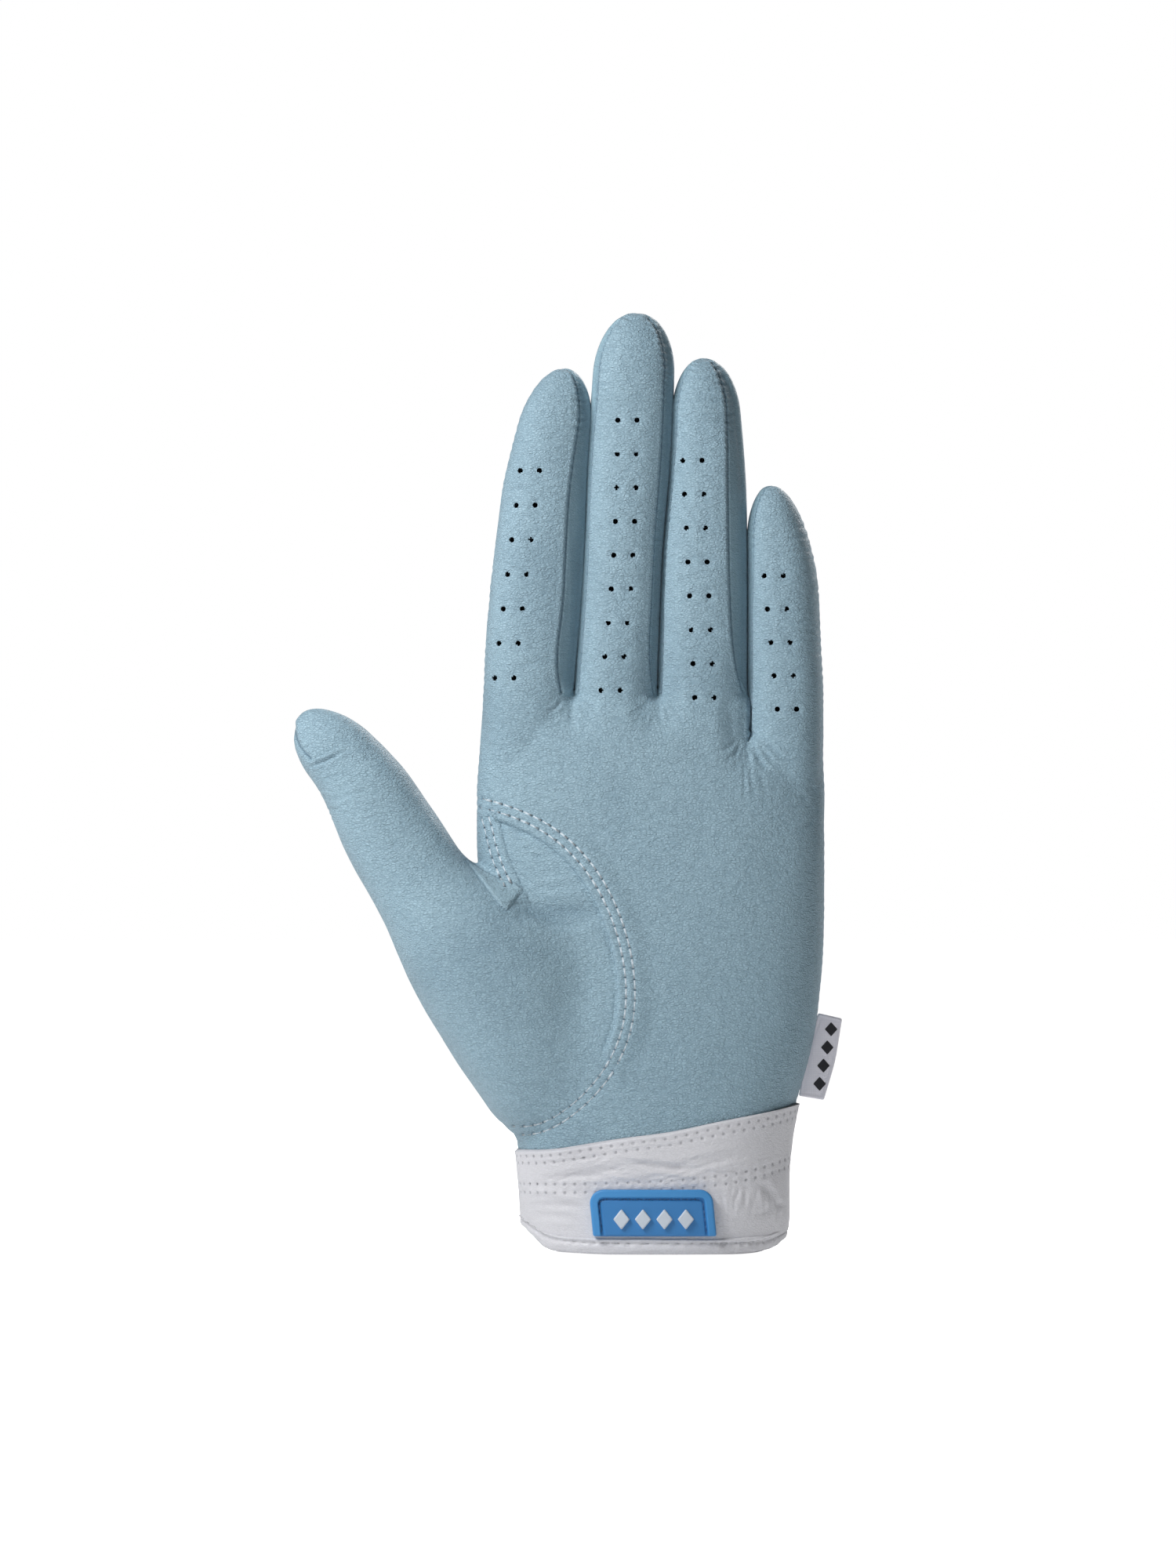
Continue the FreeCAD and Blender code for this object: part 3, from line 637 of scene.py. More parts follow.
def punch_holes(p, n, quads, owner):
    """Opens the pairs of ventilation holes up the front of each finger."""
    gone = np.zeros(len(p), bool)
    for i, (name, shape) in enumerate(FINGER_SHAPE.items()):
        (x0, z0), (x1, z1), rows = shape["holes"]
        near = np.flatnonzero((n[:, 1] < -0.3) & (p[:, 2] > 115) & (np.abs(p[:, 0] - (x0 + x1) / 2) < 12))
        for row in range(rows):
            share = row / (rows - 1)
            bow = 1.0 * math.sin(math.pi * share) if name == "middle" else 0.0
            for side in (-0.5, 0.5):
                hole = np.array([x0 + (x1 - x0) * share + side * HOLE_SPACING + bow, z0 + (z1 - z0) * share])
                rel = p[near][:, [0, 2]] - hole
                r = np.linalg.norm(rel, axis=1)
                snap = (r > HOLE_R - 0.55 * VOXEL) & (r < HOLE_R + 0.5 * VOXEL)
                target = near[snap]
                p[target, 0] = hole[0] + rel[snap, 0] / r[snap] * HOLE_R
                p[target, 2] = hole[1] + rel[snap, 1] / r[snap] * HOLE_R
                gone[near[r < HOLE_R + 0.5 * VOXEL]] = True
                dish = near[r < 3.0]
                p[dish, 1] += 0.22 * np.exp(-(((r[r < 3.0] - HOLE_R) / 0.8) ** 2))
    return quads[~gone[quads].all(axis=1)]


# ------------------------------------------------------------------ meshes and pieces
def make_object(name, points, faces, normals=None, layers=None):
    """Mesh object from points in millimetres and faces of four corners."""
    mesh = bpy.data.meshes.new(name)
    faces = np.asarray(faces)
    mesh.vertices.add(len(points))
    mesh.vertices.foreach_set("co", (np.asarray(points) * MM).ravel())
    mesh.loops.add(faces.size)
    mesh.loops.foreach_set("vertex_index", faces.ravel())
    mesh.polygons.add(len(faces))
    mesh.polygons.foreach_set("loop_start", np.arange(0, faces.size, faces.shape[1]))
    mesh.update(calc_edges=True)
    mesh.polygons.foreach_set("use_smooth", np.ones(len(faces), bool))
    rest = mesh.attributes.new("rest", "FLOAT_VECTOR", "POINT")
    rest.data.foreach_set("vector", np.asarray(points, np.float32).ravel())
    for key, values in (layers or {}).items():
        layer = mesh.attributes.new(key, "FLOAT", "POINT")
        layer.data.foreach_set("value", np.asarray(values, np.float32))
    if normals is not None:
        mesh.normals_split_custom_set_from_vertices(np.asarray(normals).tolist())
    mesh.validate()
    obj = bpy.data.objects.new(name, mesh)
    bpy.context.scene.collection.objects.link(obj)
    return obj


def rim_of(faces):
    """Edges that only one face uses, in that face's direction."""
    edges = np.concatenate([faces[:, [k, (k + 1) % faces.shape[1]]] for k in range(faces.shape[1])])
    key = np.sort(edges, axis=1)
    _, first, count = np.unique(key, axis=0, return_index=True, return_counts=True)
    return edges[first[count == 1]]


def shell(name, points, faces, normals, thick, layers=None):
    """Leather of one thickness: the outer faces, the same faces inside, and the cut edge between them."""
    used, faces = np.unique(faces, return_inverse=True)
    faces = faces.reshape(-1, 4)
    outer, normals = points[used], normals[used]
    inner = outer - normals * thick
    count = len(outer)
    edge = rim_of(faces)
    rim = np.stack([edge[:, 1], edge[:, 0], edge[:, 0] + count, edge[:, 1] + count], axis=1)
    everything = np.concatenate([faces, faces[:, ::-1] + count, rim])
    doubled = {key: np.r_[values[used], values[used]] for key, values in (layers or {}).items()}
    return make_object(name, np.r_[outer, inner], everything, np.r_[normals, -normals], doubled)


# ------------------------------------------------------------------ materials
def srgb(r, g, b):
    """Linear colour from a colour on the 0 to 255 screen scale."""
    return tuple((c / 255 / 12.92 if c / 255 <= 0.04045 else ((c / 255 + 0.055) / 1.055) ** 2.4) for c in (r, g, b)) + (1.0,)


class Nodes:
    """Short way to write a node tree."""

    def __init__(self, name):
        self.material = bpy.data.materials.new(name)
        self.material.use_nodes = True
        self.tree = self.material.node_tree
        self.shader = self.tree.nodes["Principled BSDF"]

    def add(self, kind, **values):
        node = self.tree.nodes.new(kind)
        for key, value in values.items():
            if key in node.inputs.keys():
                node.inputs[key].default_value = value
            else:
                setattr(node, key, value)
        return node

    def link(self, a, b):
        self.tree.links.new(a, b)

    def rest(self):
        return self.add("ShaderNodeAttribute", attribute_name="rest").outputs["Vector"]

    def layer(self, name):
        return self.add("ShaderNodeAttribute", attribute_name=name).outputs["Fac"]

    def noise(self, scale, detail=3.0, roughness=0.5, stretch=(1.0, 1.0, 1.0)):
        node = self.add("ShaderNodeTexNoise", Scale=scale, Detail=detail, Roughness=roughness)
        self.link(self.stretched(stretch), node.inputs["Vector"])
        return node.outputs["Fac"]

    def cells(self, scale, feature="F1", stretch=(1.0, 1.0, 1.0)):
        node = self.add("ShaderNodeTexVoronoi", Scale=scale, feature=feature)
        self.link(self.stretched(stretch), node.inputs["Vector"])
        return node.outputs["Distance"]

    def stretched(self, stretch):
        mapping = self.add("ShaderNodeMapping", Scale=stretch)
        self.link(self.rest(), mapping.inputs["Vector"])
        return mapping.outputs["Vector"]

    def ramp(self, value, low, high, out_low=0.0, out_high=1.0):
        node = self.add("ShaderNodeMapRange")
        for key, number in zip(("From Min", "From Max", "To Min", "To Max"), (low, high, out_low, out_high)):
            node.inputs[key].default_value = number
        self.link(value, node.inputs["Value"])
        return node.outputs["Result"]

    def math(self, operation, a, b):
        node = self.add("ShaderNodeMath", operation=operation)
        for socket, value in zip(node.inputs, (a, b)):
            if isinstance(value, (int, float)):
                socket.default_value = value
            else:
                self.link(value, socket)
        return node.outputs[0]

    def mix(self, factor, a, b):
        node = self.add("ShaderNodeMix", data_type="RGBA")
        for socket, value in zip((node.inputs["Factor"], node.inputs[6], node.inputs[7]), (factor, a, b)):
            if isinstance(value, (int, float, tuple)):
                socket.default_value = value
            else:
                self.link(value, socket)
        return node.outputs[2]

    def bump(self, height, distance, strength=1.0, after=None):
        node = self.add("ShaderNodeBump", Strength=strength, Distance=distance * MM)
        self.link(height, node.inputs["Height"])
        if after is not None:
            self.link(after, node.inputs["Normal"])
        return node.outputs["Normal"]

    def finish(self, colour, roughness, normal=None, **extra):
        for key, value in (("Base Color", colour), ("Roughness", roughness), ("Normal", normal)):
            if value is None:
                continue
            if isinstance(value, (int, float, tuple)):
                self.shader.inputs[key].default_value = value
            else:
                self.link(value, self.shader.inputs[key])
        for key, value in extra.items():
            self.shader.inputs[key.replace("_", " ")].default_value = value
        return self.material


def leather(name, colour, shadow, pale, rough=0.56, grain=1.0):
    """Glove sheepskin: fine pebbles and short cross creases, painted shade where the leather sinks and along its seams,
    needle pits and overlapping edges, paler in random patches and where the tint layer is set.
    """
    m = Nodes(name)
    mottle = m.ramp(m.noise(0.03, 3.0, 0.5), 0.3, 0.7)
    tone = m.mix(m.math("MULTIPLY", mottle, 0.35), colour, pale)
    creases = m.ramp(m.noise(1.1, 2.0, 0.5, (0.5, 0.8, 1.3)), 0.4, 0.52)
    pebbles = m.ramp(m.cells(1.5, "DISTANCE_TO_EDGE", (0.7, 1.0, 1.35)), 0.0, 0.24)
    tone = m.mix(m.ramp(creases, 0.0, 1.0, 0.13 * grain, 0.0), tone, shadow)
    tone = m.mix(m.ramp(pebbles, 0.0, 1.0, 0.33 * grain, 0.0), tone, shadow)
    # Painted shade: darker where the lift layer says the leather sinks (dents, creases, sunken strips, stitch grooves).
    tone = m.mix(m.ramp(m.layer("lift"), -0.75, 0.0, 0.45, 0.0), tone, shadow)
    # Painted shade along seams, needle pits and overlapping edges, read from the seam layer.
    tone = m.mix(m.ramp(m.layer("seam"), 0.05, 0.34, 0.78, 0.0), tone, shadow)
    tone = m.mix(m.math("MULTIPLY", m.layer("tint"), 0.35), tone, pale)
    normal = m.bump(creases, 0.1 * grain, 0.8)
    normal = m.bump(pebbles, 0.1 * grain, 0.9, normal)
    roughness = m.ramp(m.noise(0.3, 3.0), 0.3, 0.7, rough - 0.05, rough + 0.07)
    return m.finish(tone, roughness, normal, Sheen_Weight=0.12, Sheen_Roughness=0.5, Specular_IOR_Level=0.42)


def thread(name, colour):
    """Twisted sewing thread."""
    m = Nodes(name)
    twist = m.add("ShaderNodeTexWave", Scale=1.6, Distortion=0.6)
    m.link(m.rest(), twist.inputs["Vector"])
    tone = m.mix(m.math("MULTIPLY", twist.outputs["Fac"], 0.25), colour, (0.1, 0.13, 0.16, 1))
    return m.finish(tone, 0.6, m.bump(twist.outputs["Fac"], 0.06, 0.6), Sheen_Weight=0.2)


def moulded(name, colour, deep):
    """Soft moulded rubber."""
    m = Nodes(name)
    tone = m.mix(m.ramp(m.layer("lift"), 0.0, 1.0, 1.0, 0.0), colour, deep)
    tone = m.mix(m.math("MULTIPLY", m.ramp(m.noise(0.5, 4.0), 0.3, 0.7), 0.12), tone, deep)
    return m.finish(tone, 0.42, m.bump(m.noise(4.0, 3.0), 0.03, 0.4), Specular_IOR_Level=0.45)


def woven(name, colour, gap, pitch):
    """Plain weave ribbon."""
    m = Nodes(name)
    waves = []
    for direction in ("X", "Z"):
        wave = m.add("ShaderNodeTexWave", Scale=1.0 / pitch, bands_direction=direction)
        m.link(m.rest(), wave.inputs["Vector"])
        waves.append(wave.outputs["Fac"])
    weave = m.math("MULTIPLY", waves[0], waves[1])
    tone = m.mix(m.ramp(weave, 0.0, 0.6, 0.6, 0.0), colour, gap)
    return m.finish(tone, 0.75, m.bump(weave, 0.08, 0.7), Sheen_Weight=0.3)


def pile(name, colour, gap, scale):
    """Fuzzy or hooked face of a hook-and-loop pad."""
    m = Nodes(name)
    tufts = m.cells(scale)
    tone = m.mix(m.ramp(tufts, 0.1, 0.6), colour, gap)
    return m.finish(tone, 0.85, m.bump(tufts, -0.3, 0.9), Sheen_Weight=0.5)


BLUE, BLUE_DEEP, BLUE_PALE = srgb(155, 184, 199), srgb(78, 108, 128), srgb(167, 195, 208)
WHITE, WHITE_DEEP, WHITE_PALE = srgb(217, 217, 222), srgb(144, 144, 152), srgb(234, 234, 238)
MATERIALS = {
    "palm": leather("palm_leather", BLUE, BLUE_DEEP, BLUE_PALE),
    "thumb": leather("thumb_leather", srgb(155, 184, 199), BLUE_DEEP, srgb(167, 196, 209)),
    "strip": leather("strip_leather", srgb(150, 181, 195), BLUE_DEEP, srgb(160, 190, 203), 0.5, 0.6),
    "white": leather("white_leather", WHITE, WHITE_DEEP, WHITE_PALE, 0.46, 0.3),
    "blue_thread": thread("blue_thread", srgb(218, 231, 240)),
    "white_thread": thread("white_thread", srgb(214, 214, 218)),
    "badge_thread": thread("badge_thread", srgb(44, 108, 170)),
    "badge": moulded("badge_rubber", srgb(70, 146, 208), srgb(58, 128, 190)),
    "marks": moulded("badge_marks_rubber", srgb(226, 232, 238), srgb(205, 214, 224)),
    "tag": woven("tag_weave", srgb(250, 249, 255), srgb(226, 224, 240), 0.9),
    "ink": woven("tag_mark_weave", srgb(38, 38, 46), srgb(20, 20, 26), 0.7),
    "elastic": woven("wrist_elastic_weave", srgb(220, 220, 222), srgb(150, 150, 155), 1.2),
    "loop": pile("loop_pile", srgb(222, 224, 226), srgb(170, 172, 176), 1.8),
    "hook": pile("hook_pile", srgb(206, 209, 214), srgb(150, 152, 158), 1.3),
}


def dress(obj, material):
    obj.data.materials.clear()
    obj.data.materials.append(MATERIALS[material])
    return obj


# ------------------------------------------------------------------ the leather hand, cut into its pieces
def build_hand():
    p, quads = mesh_of(hand_field, (-89, -25, HAND_BOTTOM - 2), (43, 18, 222))
    _, n, _ = normals_of(hand_field, p)
    p = melt_roots(close_gaps(p), quads)
    owner = owner_of(p - WELL_INSIDE * n)
    relief = Relief(p, n)
    finger_seams(relief, owner)
    side_seams(relief, owner)
    thumb_seams(relief, owner)
    wrinkles(relief, owner)
    softness(relief)
    flatten_flanks(relief, owner)
    p = p + n * relief.lift[:, None]
    quads = punch_holes(p, n, quads, owner)
    n = vertex_normals(p, quads)
    outward = np.sum(n * relief.n, axis=1).mean()
    if outward < 0:
        quads, n = quads[:, ::-1], -n
    layers = {"lift": relief.lift, "seam": relief.seam, "tint": relief.tint}
    return p, quads, n, layers


WELL_INSIDE = 0.8
SLIT_X, SLIT_HALF, SLIT_TOP = -2.0, 1.5, 52.0
CUT_BELOW = {"index": 119.0, "middle": 119.0, "ring": 119.0, "little": 109.0}
THUMB_CUT_LOW, THUMB_CUT_HIGH = -9.0, 12.0


def finger_levels(name):
    """Heights at which a finger is cut into lengths, one for each hinge."""
    root, middle, tip = (hinge(f"{name}_{bend}")[2] for bend in ("root_bend", "knuckle_bend", "tip_bend"))
    return CUT_BELOW[name], (root + 3 + middle) / 2, (middle + tip) / 2


def sort_faces(p, quads, n):
    """Stall, length and leather panel of every face."""
    c = p[quads].mean(axis=1)
    x, y, z = c.T
    owner = owner_of((p - WELL_INSIDE * n)[quads].mean(axis=1))
    columns = np.searchsorted(CROTCH_X, x)
    length = np.full(len(c), -1)
    stall = np.full(len(c), 5)
    for i, name in enumerate(FINGERS):
        low, first, second = finger_levels(name)
        crotch = CROTCH[name]
        mine = np.where(z > crotch, owner == i, columns == i) & (z > low) & (owner != 4)
        stall[mine] = i
        length[mine] = np.searchsorted([first, second], z[mine])
    s, t = to_thumb(x, z)
    mine = (owner == 4) & (t > THUMB_CUT_LOW)
    stall[mine] = 4
    length[mine] = (t[mine] > THUMB_CUT_HIGH).astype(int)
    panel = np.where(y < 0, 0, 1)
    for i, (name, oval) in enumerate(FINGERS.items()):
        mine = (stall == i) & (z > CROTCH[name] - 1)
        across, half = oval.lateral(x, z)
        share = np.clip((z - CROTCH[name]) / (oval.start - CROTCH[name]), 0, 1)
        for side in (-1, 1):
            if (name, side) not in FRONT_INSETS:
                continue
            inset = np.where(y < 0, spline(INSET_SHARES, FRONT_INSETS[name, side])(share), BACK_INSET)
            full = oval.section(np.minimum(z, oval.start))[1]
            panel[mine & (side * across > 1 - inset / full)] = 2
    front_side, _ = curve_distance(c[:, [0, 2]], THUMB_EDGE)
    back_line = np.interp(z, THUMB_BACK[:, 1], THUMB_BACK[:, 0])
    on_thumb = np.where(y < 0, (front_side < 0) & (x < 0) & (z < 101), x < back_line) | (owner == 4)
    panel[(stall == 5) & on_thumb & (z < 102)] = 3
    in_slit = np.hypot(x - SLIT_X, np.maximum(z - SLIT_TOP, 0)) < SLIT_HALF
    panel[in_slit & (y > 0)] = -1
    return stall, length, panel


PANEL_NAMES = ("front_leather", "back_leather", "side_strip")
LENGTH_NAMES = ("proximal", "middle", "distal")
BEND_SPAN = {"proximal": (-1.0, 11.0), "middle": (-6.0, 7.0), "distal": (-5.0, 6.0)}


def blend_along(piece):
    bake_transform(piece)


def hand_pieces():
    p, quads, n, layers = build_hand()
    stall, length, panel = sort_faces(p, quads, n)
    for i, name in enumerate(FINGERS):
        for k, part in enumerate(LENGTH_NAMES):
            for j, kind in enumerate(PANEL_NAMES):
                chosen = quads[(stall == i) & (length == k) & (panel == j)]
                if not len(chosen):
                    continue
                piece = shell(f"{name}_{part}_{kind}_skin", p, chosen, n, LEATHER, layers)
                dress(piece, "strip" if j == 2 else "palm")
                span = BEND_SPAN[part]
                if name == "little":
                    span = tuple(d * 0.85 for d in span)
                blend_along(piece)
                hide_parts(f"{name}_{part}_{kind}")
    for k, (part, parent, bend, span) in enumerate((("middle", "palm", "thumb_root_bend", (-1.0, 9.0)),
                                                    ("tip", "thumb_middle", "thumb_tip_bend", (-5.5, 6.5)))):
        piece = shell(f"thumb_{part}_skin", p, quads[(stall == 4) & (length == k)], n, LEATHER, layers)
        dress(piece, "thumb")
        blend_along(piece)
        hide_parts(f"thumb_{part}_leather")
    for j, (name, material, slot, nodes) in {
        0: ("palm_panel_skin", "palm", "palm_leather", ("palm_panel", "thumb_seam_edge", "thumb_quirk")),
        1: ("back_panel_skin", "palm", "back_leather", ("back_panel", "crotch_webs")),
        3: ("thumb_panel_skin", "thumb", "thumb_leather", ("thumb_panel",)),
    }.items():
        piece = shell(name, p, quads[(stall == 5) & (panel == j)], n, LEATHER, layers)
        dress(piece, material)
        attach(piece, "palm")
        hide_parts(*nodes)
    gussets(p, quads, n, stall, layers)
    return BVHTree.FromPolygons((p * MM).tolist(), quads.tolist())


GUSSET_DEPTH, GUSSET_THICK = 1.2, 0.4


def gussets(p, quads, n, stall, layers):
    """Leather just inside the sides and backs of the finger roots: it stays with the palm, and shows only
    where a bent finger lifts away from its neighbour."""
    c = p[quads].mean(axis=1)
    facing = n[quads].mean(axis=1)
    height = c[:, 2] - np.array([CROTCH[name] for name in FINGERS] + [0, 0])[stall]
    root = (stall < 4) & (height > -3) & (height < 4)
    chosen = quads[root & ((c[:, 1] > -4) | (np.abs(facing[:, 0]) > 0.7))]
    piece = shell("crotch_gusset_skin", p - GUSSET_DEPTH * n, chosen, n, GUSSET_THICK, layers)
    dress(piece, "strip")
    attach(piece, "palm")


# ------------------------------------------------------------------ stitches
def capsule(radius, rings=5, sides=8):
    """Points and faces of a round-ended thread along X from -1 to 1, radius across."""
    turns = np.linspace(0, 2 * np.pi, sides, endpoint=False)
    ends = np.linspace(0.35, math.pi / 2, rings)
    stations = [(-1 + 0.35 * (1 - math.sin(a)), radius * math.sin(a)) for a in ends]
    stations += [(-x, r) for x, r in stations[::-1]]
    points = np.array([(x, r * math.cos(a), r * math.sin(a)) for x, r in stations for a in turns])
    return points, grid_faces(len(stations), sides, closed=True)


def grid_faces(rows, columns, closed=False):
    """Quads of a grid of points stored row by row; closed joins its last column to its first."""
    i = np.arange(rows - 1)[:, None]
    j = np.arange(columns if closed else columns - 1)[None, :]
    following = (j + 1) % columns
    corners = (i * columns + j, (i + 1) * columns + j, (i + 1) * columns + following, i * columns + following)
    return np.stack(corners, axis=-1).reshape(-1, 4)


def stitches(name, rows, radius, cover=0.84, sag=0.2):
    """One thread between each needle hole and the next; a row is needle holes with their outward normals."""
    model, model_faces = capsule(radius)
    points, faces = [], []
    for places, normals in rows:
        for a, b, out in zip(places[:-1], places[1:], normals[:-1] + normals[1:]):
            half = np.linalg.norm(b - a) / 2
            x = (b - a) / (2 * half)
            z = out - x * (out @ x)
            z /= np.linalg.norm(z)
            thread = model * np.array([half * cover, 1, 1])
            thread[:, 2] += radius * 0.6 - sag * model[:, 0] ** 2
            faces.append(model_faces + len(points) * len(model))
            points.append((a + b) / 2 + thread @ np.array([x, np.cross(z, x), z]))
    return make_object(name, np.concatenate(points), np.concatenate(faces))


def settle(tree, places, centre):
    """Moves needle holes onto a surface, and gives its normals, turned away from the centre."""
    hits = [tree.find_nearest(Vector(p) * MM)[:2] for p in places]
    on = np.array([h[0] for h in hits]) / MM
    normals = np.array([h[1] for h in hits])
    inward = np.sum(normals * (on - centre), axis=1) < 0
    normals[inward] *= -1
    return on, normals


def on_front(tree, curve):
    """Needle holes where the palm side of the leather lies behind (x, z) points, with their normals."""
    hits = [tree.ray_cast(Vector((x, -60, z)) * MM, Vector((0, 1, 0)))[:2] for x, z in curve]
    hits = [h for h in hits if h[0] is not None]
    places = np.array([h[0] for h in hits]) / MM
    normals = np.array([h[1] for h in hits])
    normals[normals[:, 1] > 0] *= -1
    return places, normals


def thumb_stitches(tree):
    piece = stitches("thumb_seam_stitches", [on_front(tree, row) for row in THUMB_ROWS], 0.28)
    dress(piece, "blue_thread")
    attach(piece, "palm")


# ------------------------------------------------------------------ cuff
CUFF_LIFT, CUFF_THICK = 1.05, 1.0
CUFF_TOP = spline((-33, -25, -16.5, -7.4, 3.9, 12.5, 24.8, 32.3), (24.1, 24.4, 25.7, 27.2, 28.8, 30.7, 33.2, 35.1))
CUFF_MIDDLE = spline((-30.1, -21, -5.9, 11.2, 19.5, 30.5), (16.2, 16.3, 16.8, 17.9, 19.1, 22.1))
BINDING_TOP = spline((-33, -30, -26.5, -22, -12, 0, 14, 22, 26, 29, 32), (9.6, 7.6, 5.4, 4.3, 3.8, 3.7, 3.7, 4.0, 4.6, 5.8, 7.4))
BINDING_BOTTOM = spline((-33, -30, -27.7, -22, -12, 14, 23, 27.5, 30, 32), (7.4, 4.0, 1.9, 0.4, 0.02, 0.02, 0.3, 1.3, 2.8, 5.0))
CUFF_PITCH = 2.55
WRIST_CENTRE = np.array([-1.0, 0.0, 15.0])
RIM_TUCK = 0.8


def around(turn, z, lift):
    """Points round the wrist: turn in degrees, 0 at the little-finger side, 90 at the back, -90 in front."""
    centre_x, half_x, centre_y, half_y = PALM.section(z)
    half_x = half_x - RIM_TUCK * smoothstep(9.0, 2.0, z)
    c, s = np.cos(np.radians(turn)), np.sin(np.radians(turn))
    x = centre_x + (half_x + lift) * np.sign(c) * np.abs(c) ** (2 / POWER)
    y = centre_y + (half_y + lift) * np.sign(s) * np.abs(s) ** (2 / POWER)
    return np.stack(np.broadcast_arrays(x, y, z), axis=-1)


def on_wrist(x, z, lift, side):
    """Points at x and z on the front (side -1) or the back (side 1) of the wrist."""
    centre_x, half_x, centre_y, half_y = PALM.section(z)
    u = np.clip(np.abs((x - centre_x) / (half_x + lift)), 0, 0.995)
    y = centre_y + side * (half_y + lift) * (1 - u**POWER) ** (1 / POWER)
    return np.stack(np.broadcast_arrays(x, y, z), axis=-1)


def turn_at(x):
    """Angle round the back of the wrist at this x, at cuff height."""
    centre, half, _, _ = PALM.section(15.0)
    u = (x - centre) / (half + CUFF_LIFT)
    return math.degrees(math.acos(math.copysign(abs(u) ** (POWER / 2), u)))


SLIT_TURNS = turn_at(SLIT_X + SLIT_HALF), turn_at(SLIT_X - SLIT_HALF) - 360


def ring_line(turns, height, lift):
    """A line round the wrist at a height that varies with x."""
    turn = np.linspace(*turns, 400)
    x = around(turn, 15.0, lift)[:, 0]
    return around(turn, height(x), lift)


def outward(points, faces):
    """Vertex normals and faces, both turned away from the middle of the wrist."""
    normals = vertex_normals(points, faces)
    level = points - WRIST_CENTRE
    level[:, 2] = 0
    if np.sum(normals * level) < 0:
        return -normals, faces[:, ::-1]
    return normals, faces


def cuff_rows():
    """Stitch lines of the cuff: two under its upper edge, and on the palm side two half way up."""
    front = (-176, -4)
    edge = [ring_line(SLIT_TURNS, lambda x, d=d: CUFF_TOP(x) - d, CUFF_LIFT) for d in (1.5, 3.1)]
    middle = [ring_line(front, lambda x, d=d: CUFF_MIDDLE(x) - d, CUFF_LIFT) for d in (0.0, 2.0)]
    return [even_points(line, CUFF_PITCH) for line in edge + middle]


def cuff_creases(relief):
    """Rows of stitching pull the white leather into grooves; wrist and thumb crumple it."""
    x, y, z = relief.p.T
    middle = CUFF_MIDDLE(x)
    for line, strength in ((CUFF_TOP(x) - 1.5, 1), (CUFF_TOP(x) - 3.1, 1), (middle, y < 0), (middle - 2.0, y < 0)):
        relief.lift -= 0.07 * strength * np.exp(-(((z - line) / 0.6) ** 2))
    front = np.flatnonzero(y < 2)
    pucker = np.sin(2 * np.pi * x / CUFF_PITCH + 2 * noise(relief.p, 6.0)) * np.exp(-np.abs(z - middle + 1.0) / 2.2)
    relief.lift += 0.07 * pucker * (y < 0)
    for a, b, depth, width in (
        ((-22, 18.6), (-2, 20.4), 0.26, 1.0), ((-6, 20.8), (14, 18.9), 0.3, 0.9), ((-12, 22.0), (6, 19.6), 0.22, 0.7),
        ((2, 20.0), (22, 23.4), 0.28, 1.0), ((6, 19.2), (17, 21.8), 0.24, 0.6), ((-28, 17.6), (-10, 18.2), 0.2, 0.8),
        ((-31, 11.6), (-17, 11.0), 0.4, 1.1), ((-30, 9.4), (-18, 8.4), 0.3, 1.0), ((-31, 13.2), (-22, 13.0), 0.25, 0.7),
        ((23.6, 16.8), (27.4, 11.6), 0.35, 1.1), ((27, 11.6), (29.8, 10.4), 0.2, 0.8), ((26.6, 11.6), (22.6, 8.6), 0.18, 0.9),
    ):
        stroke(relief, front, a, b, depth, width, 0.4)
    for place in np.linspace(14.5, 29.5, 15):
        top = rng.uniform(12.5, 16.5)
        lean = rng.uniform(-1.6, 1.0)
        stroke(relief, front, (place, top), (place + lean, top - rng.uniform(3.5, 7.5)), rng.uniform(0.07, 0.15), 0.45, 0.15)
    for _ in range(60):
        start = np.array([rng.uniform(-28, 26), rng.uniform(17.2, 22.5)])
        way = np.array([rng.uniform(1.5, 4.5), rng.uniform(-0.8, 1.2)])
        stroke(relief, front, start, start + way, rng.uniform(0.05, 0.12), 0.35, rng.uniform(-0.3, 0.3))
    back = np.flatnonzero(y > 0)
    for _ in range(70):
        start = np.array([rng.uniform(-30, 28), rng.uniform(6, 26)])
        way = np.array([rng.uniform(-2.0, 2.0), rng.uniform(-4.5, 4.5)])
        stroke(relief, back, start, start + way, rng.uniform(0.06, 0.18), 0.5, rng.uniform(-0.4, 0.4))


def cuff_part(name, turns, nodes):
    """One stretch of the white cuff between two angles."""
    step = 0.3
    turn = np.linspace(*turns, int(abs(turns[1] - turns[0]) * 0.45 / step))[:, None]
    x = around(turn, 15.0, CUFF_LIFT)[..., 0]
    low, high = BINDING_TOP(x) - 1.6, CUFF_TOP(x)
    z = low + (high - low) * np.linspace(0, 1, int(28 / step))[None, :]
    p = around(turn, z, CUFF_LIFT)
    shape = p.shape[:2]
    p = p.reshape(-1, 3)
    n, faces = outward(p, grid_faces(*shape))
    relief = Relief(p, n)
    softness(relief)
    cuff_creases(relief)
    edge = np.minimum(np.abs(p[:, 1]), 3.0)
    relief.lift -= 0.3 * np.exp(-((edge / 0.5) ** 2))
    relief.lift -= 0.7 * smoothstep(0.8, 0.0, CUFF_TOP(p[:, 0]) - p[:, 2]) ** 2
    for row in cuff_rows():
        dimple(relief, np.arange(len(p)), p, row, 0.25, 0.32)
    p = p + n * relief.lift[:, None]
    n, faces = outward(p, faces)
    piece = shell(name, p, faces, n, CUFF_THICK, {"lift": relief.lift, "seam": relief.seam, "tint": relief.tint})
    dress(piece, "white")
    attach(piece, "palm")
    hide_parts(*nodes)
    return p, faces


